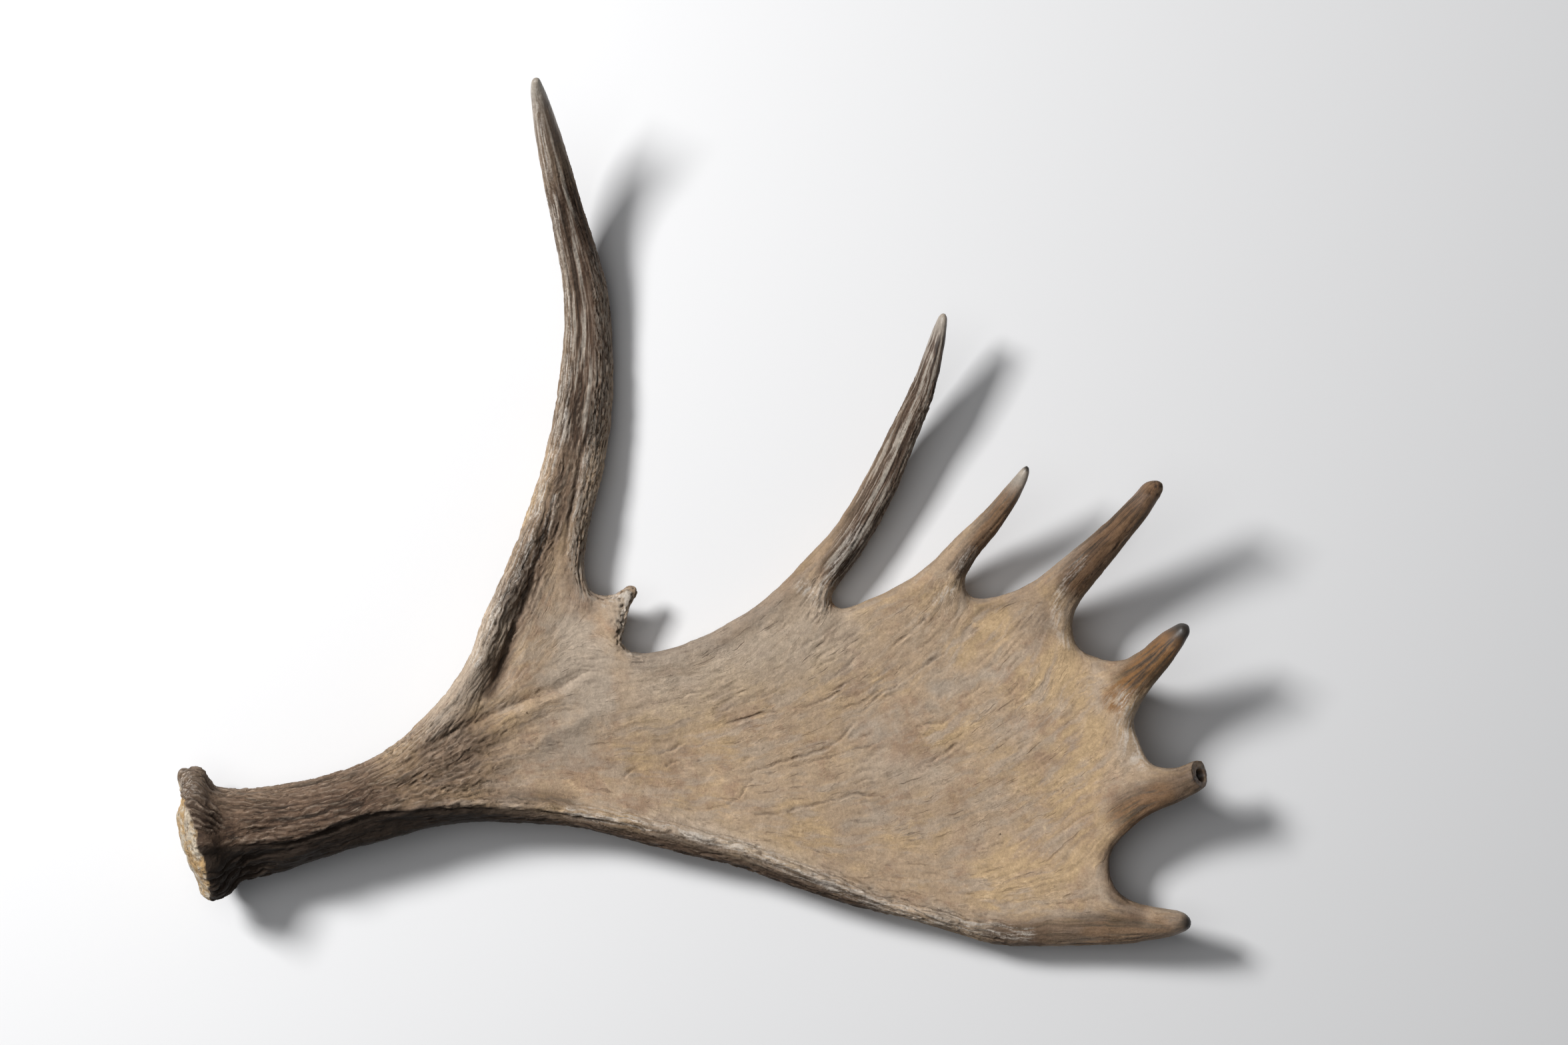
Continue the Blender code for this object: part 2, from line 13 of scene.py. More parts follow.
import bpy
import numpy as np
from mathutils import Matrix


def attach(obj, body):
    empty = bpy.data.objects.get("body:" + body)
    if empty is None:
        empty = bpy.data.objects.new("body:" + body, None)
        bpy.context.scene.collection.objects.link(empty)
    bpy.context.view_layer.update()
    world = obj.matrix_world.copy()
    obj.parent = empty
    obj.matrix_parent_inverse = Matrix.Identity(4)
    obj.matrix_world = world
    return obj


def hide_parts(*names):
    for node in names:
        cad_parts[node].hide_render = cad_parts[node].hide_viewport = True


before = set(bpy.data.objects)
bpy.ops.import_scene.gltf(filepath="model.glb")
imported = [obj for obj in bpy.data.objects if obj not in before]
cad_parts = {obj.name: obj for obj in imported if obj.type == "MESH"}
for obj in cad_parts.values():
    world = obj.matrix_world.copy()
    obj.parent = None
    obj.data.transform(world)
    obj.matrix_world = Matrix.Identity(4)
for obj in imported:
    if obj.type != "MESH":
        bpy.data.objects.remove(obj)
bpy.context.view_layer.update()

MM = 0.001

# %% [markdown]
# ## Reading places off the photograph
#
# The antler lies on its back and the camera looks straight down on it, so a place in the
# photograph is a place on the ground plan. A pixel is worth a little less where the bone
# stands nearer to the camera, which is why each reading also asks for a height.

# %% From pixels to metres
PIXEL = 0.45 * MM
PIXEL_HEIGHT = 30 * MM
CAMERA_HEIGHT = 3000 * MM
CENTRE_PIXEL = np.array((1176, 784))
ORIGIN_PIXEL = np.array((1038.0, 776.4))
FRAME_WIDTH = 2352
CAMERA_PLAN = (CENTRE_PIXEL - ORIGIN_PIXEL) * PIXEL * (1, -1)


def plan_of(pixels, height):
    """Ground-plan points, in metres, of pixels whose points lie at this height."""
    spread = (CAMERA_HEIGHT - height) / (CAMERA_HEIGHT - PIXEL_HEIGHT) * PIXEL
    offset = (np.asarray(pixels, float) - CENTRE_PIXEL) * (1, -1)
    return CAMERA_PLAN + offset * np.reshape(spread, (-1, 1))


print("camera above", CAMERA_PLAN.round(4))

# %% [markdown]
# ## The blank
#
# The solids are three pieces with saw cuts between them, but the real antler is one bone. A
# voxel remesh wraps a new skin of small, even squares round all three. Its squares are wider
# than the saw cuts, so the cuts close and one blank is left. A carver would call it roughed out.

# %% Join the solids and wrap them in one skin
ROUGH_VOXEL = 1.5 * MM
FINE_VOXEL = 1.0 * MM

bpy.ops.object.select_all(action="DESELECT")
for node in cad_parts.values():
    node.select_set(True)
    bpy.context.view_layer.objects.active = node
bpy.ops.object.duplicate()
bpy.ops.object.join()
antler = bpy.context.view_layer.objects.active
antler.name = antler.data.name = "antler"
antler.parent = None
for key in [key for key in antler.keys() if key.startswith("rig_")]:
    del antler[key]

bpy.ops.object.mode_set(mode="EDIT")
bpy.ops.mesh.select_all(action="SELECT")
bpy.ops.mesh.remove_doubles(threshold=0.01 * MM)
bpy.ops.object.mode_set(mode="OBJECT")


def wrap_skin(voxel):
    wrap = antler.modifiers.new("wrap", "REMESH")
    wrap.mode = "VOXEL"
    wrap.voxel_size = voxel
    bpy.ops.object.modifier_apply(modifier="wrap")


wrap_skin(ROUGH_VOXEL)
print("blank:", len(antler.data.vertices), "points")

# %% [markdown]
# ## Sanding the blank
#
# The solids are made of flat faces, and the blank still shows them. Sanding moves each point
# towards the middle of its neighbours. That alone would eat the thin tips, so every such step
# is followed by one that pushes back a little harder. Small bumps go and large forms stay. A
# second, finer skin then gives the gouge enough points to cut thin grooves.

# %% Sand without shrinking
SAND = 0.5                       # share of the way to the neighbours' middle
PUSH_BACK = -0.53
ROUGH_SANDING = 34               # passes
FINE_SANDING = 6


def read_all(items, name, size=1, kind=float):
    """One property of every item, as an array with size numbers to a row."""
    values = np.empty(len(items) * size, kind)
    items.foreach_get(name, values)
    return values.reshape(-1, size) if size > 1 else values


def read_points(mesh, name="co"):
    """All of a mesh's points, or their normals, as an array."""
    return read_all(mesh.vertices, name, 3)


def store(mesh, name, values, kind="FLOAT", key="value"):
    """Keep a value for each point on the mesh itself, under this name."""
    attribute = mesh.attributes.new(name, kind, "POINT")
    attribute.data.foreach_set(key, values.astype(np.float32).ravel())


class Neighbours:
    """Averages a value over the points that share an edge with each point."""

    def __init__(self, mesh):
        a, b = read_all(mesh.edges, "vertices", 2, np.int64).T
        self.source = np.concatenate([a, b])
        self.target = np.concatenate([b, a])
        self.size = len(mesh.vertices)
        self.count = np.bincount(self.target, minlength=self.size)

    def average(self, values):
        columns = values.reshape(self.size, -1).T
        sums = [np.bincount(self.target, column[self.source], self.size) for column in columns]
        return (np.array(sums) / self.count).T.reshape(values.shape)

    def blur(self, values, passes):
        for _ in range(passes):
            values = 0.5 * values + 0.5 * self.average(values)
        return values


def set_points(mesh, points):
    mesh.vertices.foreach_set("co", points.ravel())
    mesh.update()


def sand(passes):
    around = Neighbours(antler.data)
    points = read_points(antler.data)
    for _ in range(passes):
        for step in (SAND, PUSH_BACK):
            points += step * (around.average(points) - points)
    set_points(antler.data, points)


sand(ROUGH_SANDING)
wrap_skin(FINE_VOXEL)
sand(FINE_SANDING)
around = Neighbours(antler.data)
points = read_points(antler.data)
print("fine skin:", len(points), "points,", points.min(0).round(4), points.max(0).round(4))

# %% [markdown]
# ## Maps of the ground plan
#
# Seen from above, every place on the plan has one upper face and one lower face. Two small maps
# hold their heights. The growth lines are worked out on the same maps.

# %% Map the antler's upper and lower faces
CELL = 1.5 * MM
BORDER = 14                      # empty cells round the antler

map_corner = points[:, :2].min(0) - BORDER * CELL
map_shape = tuple(((points[:, :2].max(0) - map_corner) / CELL).astype(int) + BORDER)


def cell_of(plan):
    return tuple(((plan - map_corner) / CELL).astype(int).T)


def spread_out(grid, known, passes):
    """Fill unknown cells from their known neighbours, one row of cells at each pass."""
    grid = np.where(known, grid, 0.0)
    for _ in range(passes):
        total = np.zeros(grid.shape)
        count = np.zeros(grid.shape)
        for axis, step in itertools.product((0, 1), (-1, 1)):
            total += np.roll(grid * known, step, axis)
            count += np.roll(known, step, axis)
        fresh = ~known & (count > 0)
        grid[fresh] = total[fresh] / count[fresh]
        known = known | fresh
    return grid


def look_up(grid, plan):
    """A map's value at plan points, blended between cell centres."""
    place = (plan - map_corner) / CELL - 0.5
    low = np.clip(np.floor(place).astype(int), 0, np.array(grid.shape) - 2)
    x, y = np.clip(place - low, 0, 1).T
    i, j = low.T
    return ((1 - x) * (1 - y) * grid[i, j] + x * (1 - y) * grid[i + 1, j]
            + (1 - x) * y * grid[i, j + 1] + x * y * grid[i + 1, j + 1])


upper = np.full(map_shape, -1.0)
lower = np.full(map_shape, 1.0)
np.maximum.at(upper, cell_of(points[:, :2]), points[:, 2])
np.minimum.at(lower, cell_of(points[:, :2]), points[:, 2])
bone = upper >= 0
middle_map = spread_out((upper + lower) / 2, bone, BORDER)
top_map = spread_out(upper, bone, BORDER)
print("map:", map_shape, "cells,", int(bone.sum()), "of them bone")


def on_antler(pixels, heights=middle_map):
    """Plan points of pixels that lie on a sheet of the antler, its middle one if not said."""
    plan = plan_of(pixels, PIXEL_HEIGHT)
    for _ in range(3):
        plan = plan_of(pixels, look_up(heights, plan))
    return plan


# %% [markdown]
# ## Growth lines
#
# Think of water that enters at the burr and leaves at every tip. Its stream lines never cross
# an edge, and they fan out over the palm just as the grooves do. A stream is easy to find: the
# edge between two tips is given one number, each edge its own, and the numbers inside settle
# until every cell is the mean of its neighbours. Lines of equal number are stream lines. Thick
# bone carries more of the stream. So the thick lower rim fills with lines, which peel off it
# one by one and rise over the palm, as the wrinkles do in the photograph.

# %% The antler's edges, from tip to tip
EDGES = {
    "outer edge": (0.0, [
        (292, 1157), (400, 1181), (540, 1146), (640, 1072), (706, 980), (758, 855), (808, 716),
        (838, 573), (845, 480), (834, 370), (804, 215), (799, 120)]),
    "bay": (0.24, [
        (807, 118), (832, 172), (874, 310), (912, 438), (919, 560), (908, 693), (880, 810),
        (886, 886), (950, 877), (938, 938), (990, 977), (1080, 942), (1168, 880), (1256, 785),
        (1340, 632), (1402, 486), (1413, 470)]),
    "point 2 to 3": (0.48, [
        (1420, 474), (1416, 525), (1372, 668), (1293, 829), (1248, 902), (1345, 880),
        (1440, 800), (1538, 699)]),
    "point 3 to 4": (0.64, [
        (1545, 706), (1500, 793), (1448, 872), (1475, 898), (1552, 871), (1650, 791),
        (1722, 722)]),
    "point 4 to 5": (0.80, [
        (1744, 728), (1692, 812), (1617, 908), (1619, 973), (1680, 991), (1745, 948),
        (1778, 934)]),
    "point 5 to 6": (0.885, [
        (1785, 950), (1730, 1028), (1701, 1085), (1728, 1146), (1800, 1140)]),
    "point 6 to 7": (0.945, [
        (1812, 1175), (1722, 1224), (1666, 1283), (1683, 1343), (1784, 1376)]),
    "lower edge": (1.0, [
        (1784, 1392), (1690, 1416), (1545, 1420), (1360, 1378), (1200, 1334), (1020, 1280),
        (860, 1240), (710, 1234), (580, 1259), (410, 1310), (316, 1352)]),
}
BURR_PIXEL = (301, 1254)
BURR_AIM_PIXEL = (640, 1178)
BURR_RADIUS = 42 * MM
BURR_RISE = 46 * MM              # height of the burr's centre


def resample(line, step):
    """Points evenly spaced along a line, both of its ends kept."""
    along = np.concatenate([[0], np.cumsum(np.linalg.norm(np.diff(line, axis=0), axis=1))])
    places = np.linspace(0, along[-1], max(int(along[-1] / step), 2))
    return np.column_stack([np.interp(places, along, column) for column in line.T])


def smooth_line(line, parts=8):
    """A Catmull-Rom curve through the points of a line."""
    padded = np.vstack([2 * line[0] - line[1], line, 2 * line[-1] - line[-2]])
    t = np.linspace(0, 1, parts, endpoint=False)[:, None]
    pieces = [b + 0.5 * t * (c - a) + t ** 2 * (a - 2.5 * b + 2 * c - 0.5 * d)
              + 0.5 * t ** 3 * (3 * b - a - 3 * c + d)
              for a, b, c, d in zip(padded, padded[1:], padded[2:], padded[3:])]
    return np.vstack(pieces + [padded[-2:-1]])


def distance_to(line, plan, reach=np.inf):
    """Distance from plan points to a line, above nought on its left and below on its right,
    and how far along it the nearest place is. Points past reach are left at infinity."""
    distance = np.full(len(plan), np.inf)
    along = np.zeros(len(plan))
    near = ((plan > line.min(0) - reach) & (plan < line.max(0) + reach)).all(1)
    chosen = plan[near]
    best = np.full(len(chosen), np.inf)
    place = np.zeros(len(chosen))
    travelled = 0.0
    for a, b in zip(line, line[1:]):
        run = b - a
        length = np.linalg.norm(run)
        offset = chosen - a
        t = np.clip(offset @ run / max(length ** 2, 1e-12), 0, 1)
        d = np.linalg.norm(offset - t[:, None] * run, axis=1)
        closer = d < np.abs(best)
        on_left = run[0] * offset[:, 1] >= run[1] * offset[:, 0]
        best[closer] = np.where(on_left, d, -d)[closer]
        place[closer] = travelled + t[closer] * length
        travelled += length
    distance[near] = best
    along[near] = place
    return distance, along


def burr_frame(plan):
    """Distance along and across the beam's axis, from the front of the burr."""
    centre, aim = plan_of([BURR_PIXEL, BURR_AIM_PIXEL], BURR_RISE)
    axis = (aim - centre) / np.linalg.norm(aim - centre)
    return (plan - centre) @ axis, (plan - centre) @ np.array((-axis[1], axis[0]))


# %% Let the stream settle
SETTLING_PASSES = 800
OVERSHOOT = 1.94                 # how far past the mean each cell jumps, to settle sooner
THINNEST = 7 * MM                # bone thinner than this still carries as much
CARRIES = 1.6                    # how fast the flow grows with the thickness
THICKNESS_PASSES = 4             # smoothing passes
CROWDING_PASSES = 8


def mean_of_sides(grid):
    """Each cell's four neighbours, averaged."""
    return (np.roll(grid, 1, 0) + np.roll(grid, -1, 0) + np.roll(grid, 1, 1) + np.roll(grid, -1, 1)) / 4


def smooth_map(grid, passes):
    for _ in range(passes):
        grid = mean_of_sides(grid)
    return grid


cell_centres = np.indices(map_shape).reshape(2, -1).T + 0.5
cell_plan = map_corner + cell_centres * CELL
edge_lines = [(share, resample(on_antler(line), 4 * MM)) for share, line in EDGES.values()]
edge_distance = [np.abs(distance_to(line, cell_plan, 40 * MM)[0]) for share, line in edge_lines]
edge_share = np.array([share for share, line in edge_lines])
stream = edge_share[np.argmin(edge_distance, axis=0)].reshape(map_shape)
cell_along, cell_across = (values.reshape(map_shape) for values in burr_frame(cell_plan))
at_burr = cell_along < 4 * MM
stream[at_burr] = np.clip(0.5 - cell_across[at_burr] / (2 * BURR_RADIUS), 0, 1)

thickness = np.where(bone, upper - lower, 0.0)
for _ in range(THICKNESS_PASSES):
    thickness = np.where(bone, mean_of_sides(thickness), 0.0)
hindrance = np.maximum(thickness, THINNEST) ** -CARRIES
weights = {(axis, way): (hindrance + np.roll(hindrance, -way, axis))[1:-1, 1:-1]
           for axis, way in itertools.product((0, 1), (1, -1))}
all_weights = sum(weights.values())
settles = bone & ~at_burr
stream[settles] = 0.5
checker = np.indices(map_shape).sum(0) % 2
moves = [OVERSHOOT * (settles & (checker == colour))[1:-1, 1:-1] for colour in (0, 1)]
core = stream[1:-1, 1:-1]
for _ in range(SETTLING_PASSES):
    for move in moves:
        mean = (weights[0, 1] * stream[2:, 1:-1] + weights[0, -1] * stream[:-2, 1:-1]
                + weights[1, 1] * stream[1:-1, 2:] + weights[1, -1] * stream[1:-1, :-2]) / all_weights
        core += move * (mean - core)
stream = spread_out(stream, bone, 4)
slope_x, slope_y = np.gradient(stream, CELL)
crowding = spread_out(np.hypot(slope_x, slope_y), settles, BORDER)
crowding = smooth_map(crowding, CROWDING_PASSES)
print("stream lines per metre on the palm:", look_up(crowding, on_antler([(1250, 1080)])).round(1))

# %% [markdown]
# The second number says how far the bone had grown when it reached a place. It spreads from the
# burr like a ripple that can't cross open air.

# %% How far the bone has grown
NEIGHBOUR_STEPS = [(1, 0, 1.0), (0, 1, 1.0), (1, 1, 2 ** 0.5), (1, -1, 2 ** 0.5)]
MOST_STEPS = 900                 # more cells than lie between the burr and any tip
SEAL_BULGE = 15 * MM             # how far the seal stands out behind the burr

grown = np.where(at_burr & bone, np.maximum(cell_along, -SEAL_BULGE) + SEAL_BULGE, np.inf)
for _ in range(MOST_STEPS):
    before = grown.copy()
    for i, j, length in NEIGHBOUR_STEPS:
        for way in (1, -1):
            step = np.roll(grown, (way * i, way * j), (0, 1)) + length * CELL
            grown = np.where(settles, np.minimum(grown, step), grown)
    if np.array_equal(before, grown):
        break
reached = np.isfinite(grown)
grown = spread_out(np.where(reached, grown, 0), reached, BORDER)
print("longest growth from the burr:", round(float(grown[bone].max()), 3), "m")

# %% [markdown]
# ## Noise drawn along the growth lines
#
# Plain noise is a field of round blobs. Read in growth coordinates, and stretched along them,
# the same blobs become long grooves that follow the bone. Where the stream lines spread apart,
# as on the palm, the blobs would grow wide. So the noise is doubled there, and the two scales
# are blended: new grooves are born between the old ones, as they are on the real antler.

# %% Noise


def noise(places, seed):
    """Smooth noise from about -1 to 1. One unit of places is the size of one blob."""
    base = np.floor(places).astype(np.int64)
    local = places - base
    ease = local ** 3 * (local * (local * 6 - 15) + 10)
    total = np.zeros(len(places))
    for corner in itertools.product((0, 1), repeat=3):
        x, y, z = (base + corner).T
        mixed = (x * 73856093 ^ y * 19349663 ^ z * 83492791 ^ seed * 40503) & 0xFFFFFFFF
        mixed = (mixed ^ mixed >> 15) * 668265263 & 0xFFFFFFFF
        mixed = (mixed ^ mixed >> 13) * 374761393 & 0xFFFFFFFF
        mixed = mixed ^ mixed >> 16
        lean = np.column_stack([mixed & 1023, mixed >> 10 & 1023, mixed >> 20 & 1023]) / 511.5 - 1
        share = np.prod(np.where(corner, ease, 1 - ease), axis=1)
        total += share * (lean * (local - corner)).sum(1)
    return 1.6 * total


def grain(flow, width, length, seed):
    """Noise in long streaks along the growth lines, each about this wide and this long."""
    level = -np.log2(width * flow["crowding"])
    whole = np.floor(level)
    blend = level - whole
    total = 0
    for step, share in ((0, 1 - blend), (1, blend)):
        across = flow["stream"] * 2.0 ** (whole + step)
        places = np.column_stack([flow["grown"] / length, across, flow["rise"] / width])
        total = total + share * noise(places + 17.3 * (whole + step)[:, None], seed)
    return total / np.sqrt(blend ** 2 + (1 - blend) ** 2)


def valley(values, width):
    """1 along the lines where noise crosses nought, falling to 0 at this much noise."""
    return np.clip(1 - np.abs(values) / width, 0, 1) ** 1.5


def step_up(values, low, high):
    """0 below low, 1 above high, and a smooth step between them."""
    t = np.clip((values - low) / (high - low), 0, 1)
    return t * t * (3 - 2 * t)


def ledges(values, drop):
    """A slow climb and a sudden drop, over and over, as if thin layers had flaked off."""
    part = values % 1
    return part * (1 - step_up(part, 1 - drop, 1))


# %% [markdown]
# Grooves wander a little, except on the tines, where they run nearly straight to the tip.

# %% Growth coordinates of every point
# how much stain each tine took, reach in mm, and pixels along its middle
TINES = {
    "brow tine": (1.0, 36, [(868, 650), (885, 520), (876, 400), (850, 300)]),
    "brow tine's end": (0.8, 30, [(850, 300), (820, 190), (806, 130)]),
    "point 2": (1.0, 30, [(1262, 850), (1310, 760), (1350, 670), (1385, 580), (1405, 510)]),
    "point 3": (0.8, 20, [(1445, 850), (1480, 800), (1525, 730)]),
    "point 4": (0.95, 26, [(1610, 870), (1650, 820), (1715, 745)]),
    "point 5": (0.9, 24, [(1700, 1015), (1730, 990), (1765, 955)]),
    "point 6": (0.8, 26, [(1690, 1215), (1730, 1195), (1795, 1165)]),
    "point 7": (0.65, 22, [(1620, 1408), (1700, 1400), (1760, 1390)]),
}
plan = points[:, :2]


def near_line(pixels, reach, core=0.4):
    """1 on a line of pixels and 0 past reach, for every point of the antler."""
    distance, _ = distance_to(on_antler(pixels), plan, reach)
    return 1 - step_up(np.abs(distance), core * reach, reach)


def near_pixel(pixel, reach, core=0.3):
    distance = np.linalg.norm(plan - on_antler([pixel]), axis=1)
    return 1 - step_up(distance, core * reach, reach)


def strongest(lines, core=0.4):
    return np.max([strength * near_line(pixels, reach * MM, core)
                   for strength, reach, pixels in lines.values()], axis=0)


on_tine = np.max([near_line(pixels, reach * MM, 0.6) for _, reach, pixels in TINES.values()], axis=0)
wobble = (2.2 * noise(points / (22 * MM), 5) + 1.0 * noise(points / (7 * MM), 6)) * MM
wobble *= 1 - 0.75 * on_tine
flow = {
    "stream": look_up(stream, plan),
    "crowding": np.maximum(look_up(crowding, plan), 1.5),
    "grown": look_up(grown, plan),
    "rise": points[:, 2] - look_up(middle_map, plan),
}
flow["stream"] += wobble * flow["crowding"]
print("growth coordinates for", len(points), "points")

# %% [markdown]
# ## Where the bone is rough
#
# The beam and the brow tine are deeply grooved, the palm is nearly smooth, and the tips are
# polished. Each rough part is a line down its middle, with a reach to either side. Near the
# line its strength is full, and it fades to nothing at its reach.

# %% Rough parts
# strength, reach in mm, and pixels along the line
ROUGH = {
    "beam": (1.0, 62, [(292, 1262), (430, 1240), (560, 1195), (660, 1165)]),
    "fork": (0.45, 40, [(600, 1175), (680, 1140), (760, 1105)]),
    "root of the brow": (0.5, 28, [(640, 1100), (705, 1020), (735, 955)]),
    "brow branch": (0.9, 30, [(745, 930), (785, 840), (825, 745), (862, 650), (880, 560)]),
    "brow tine": (0.45, 26, [(880, 560), (882, 460), (871, 380), (850, 290), (824, 190)]),
    "lower rim": (0.9, 17, [
        (660, 1212), (800, 1222), (950, 1246), (1100, 1284), (1250, 1334), (1400, 1384),
        (1500, 1402)]),
    "web's edge": (0.8, 10, [
        (900, 700), (880, 780), (872, 850), (890, 898), (945, 890), (935, 950), (960, 985)]),
    "point 2": (0.6, 18, [(1225, 905), (1262, 850), (1310, 760), (1350, 670), (1385, 580)]),
    "point 3": (0.3, 14, [(1405, 925), (1430, 880), (1455, 830)]),
    "point 4": (0.22, 14, [(1560, 960), (1590, 900), (1640, 840)]),
    "point 5": (0.22, 11, [(1660, 1060), (1690, 1030)]),
    "point 7": (0.3, 10, [(1480, 1405), (1600, 1412), (1700, 1400)]),
}
TIPS = {                         # pixel of each tip
    "brow tine": (803, 118),
    "point 2": (1417, 470),
    "point 3": (1541, 702),
    "point 4": (1733, 727),
    "point 5": (1780, 940),
    "point 6": (1810, 1160),
    "point 7": (1784, 1384),
}
POLISHED = {                     # how far each tip's polish reaches
    "brow tine": 70 * MM,
    "point 2": 55 * MM,
    "point 3": 40 * MM,
    "point 4": 26 * MM,
    "point 5": 26 * MM,
    "point 6": 16 * MM,
    "point 7": 22 * MM,
}
CREST_OF_RIM = [
    (330, 1262), (435, 1256), (480, 1242), (530, 1221), (600, 1208), (727, 1204), (830, 1211),
    (900, 1222), (1000, 1241), (1100, 1266), (1200, 1304), (1332, 1356), (1461, 1388)]
UNDERSIDE_PAINTED_SHADE_ENDS = [(700, 1220), (900, 1240)]


def at_tips(reaches):
    """1 at the tips named in reaches, and 0 past the reach of each."""
    return np.max([near_pixel(TIPS[name], reach) for name, reach in reaches.items()], axis=0)


normals = read_points(antler.data, "normal")
facing_up = step_up(normals[:, 2], -0.35, 0.35)
along, across = burr_frame(plan)
rough = strongest(ROUGH)
polish = at_tips(POLISHED)
below_crest = -distance_to(resample(on_antler(CREST_OF_RIM), 4 * MM), plan, 45 * MM)[0]
# Below the crest of the rim the beam and burr are painted near-black: a little stain, and mostly
# painted shade on the side that faces away from the light. Past the two ends it fades to four tenths.
underside_stain_and_painted_shade = step_up(below_crest, 0, 3.5 * MM) * np.isfinite(below_crest)
past_underside_painted_shade = step_up(plan[:, 0], *on_antler(UNDERSIDE_PAINTED_SHADE_ENDS)[:, 0])
underside_stain_and_painted_shade *= 1 - 0.6 * past_underside_painted_shade
print("rough points:", int((rough > 0.5).sum()), "polished:", int((polish > 0.5).sum()))

# %% [markdown]
# ## Carving
#
# A sculptor would now take a small gouge and follow the grooves. Here the gouge is a number for
# each point: how far it moves out along its normal. Deep, sharp-bottomed valleys come from noise
# where it crosses nought, and the ropes between them from slower noise. Short notches break the
# ropes into beads, which is what keeps them from looking combed.

# %% Level the palm
# The solids' veins are coarser than the real ones, which are drawn finely further on.
LEVELLING_PASSES = 90
LEVELLED_FROM = [(930, 700), (905, 980), (930, 1400)]

levelled = smooth_map(np.where(bone, upper, 0.0), LEVELLING_PASSES)
share_of_bone = smooth_map(bone.astype(float), LEVELLING_PASSES)
fill = levelled / np.maximum(share_of_bone, 0.05) - upper
inside = step_up(np.min(edge_distance, axis=0), 10 * MM, 24 * MM).reshape(map_shape)
past_line = distance_to(on_antler(LEVELLED_FROM), cell_plan)[0].reshape(map_shape)
fill = np.where(bone, fill * inside * step_up(past_line, 0, 14 * MM), 0.0)
points[:, 2] += facing_up * look_up(fill, plan)
print("levelled by up to %.1f mm" % (np.abs(fill).max() / MM))

# %% Ropes and grooves
away_from_burr = step_up(along, 14 * MM, 42 * MM)
# The carving is shallower under the underside's stain and painted shade.
in_underside_painted_shade = underside_stain_and_painted_shade * (1 - past_underside_painted_shade)
strength = (0.08 + 0.92 * rough) * (1 - 0.8 * polish) * away_from_burr * (1 - 0.55 * in_underside_painted_shade)

broad = grain(flow, 12 * MM, 100 * MM, 1)
main = grain(flow, 5.2 * MM, 55 * MM, 2)
fine = grain(flow, 2.7 * MM, 18 * MM, 3)
scales = ledges(1.4 * grain(flow, 4.2 * MM, 18 * MM, 4), 0.35)
deep = 0.75 + 0.5 * noise(points / (16 * MM), 21)
relief = strength * MM * (0.5 * broad - 1.1 * deep * valley(main, 0.24)
                          - 0.6 * valley(fine, 0.26) + 1.3 * (scales - 0.3))

flutes = grain(flow, 30 * MM, 160 * MM, 7)
wrinkles = grain(flow, 7 * MM, 50 * MM, 22)
folds = ledges(1.5 * grain(flow, 6.5 * MM, 28 * MM, 29), 0.42)
wrinkled = step_up(noise(points / (26 * MM), 8), -0.15, 0.3)
calm = (1 - np.clip(1.6 * rough, 0, 1)) * (1 - polish) * away_from_burr
fibres = grain(flow, 2.4 * MM, 70 * MM, 33)
relief -= 0.55 * MM * on_tine * (1 - polish) * step_up(rough, 0, 0.4) * valley(fibres, 0.30)
relief += calm * MM * (0.35 * flutes - 0.55 * wrinkled * valley(wrinkles, 0.26)
                       + 0.7 * (0.5 + 0.5 * wrinkled) * (folds - 0.3))
skin_bumps = noise(points / (5 * MM), 9) + 0.7 * noise(points / (2.4 * MM), 10)
relief += 0.10 * MM * (1 - 0.8 * polish) * skin_bumps
print("relief so far: %.2f to %.2f mm" % (relief.min() / MM, relief.max() / MM))
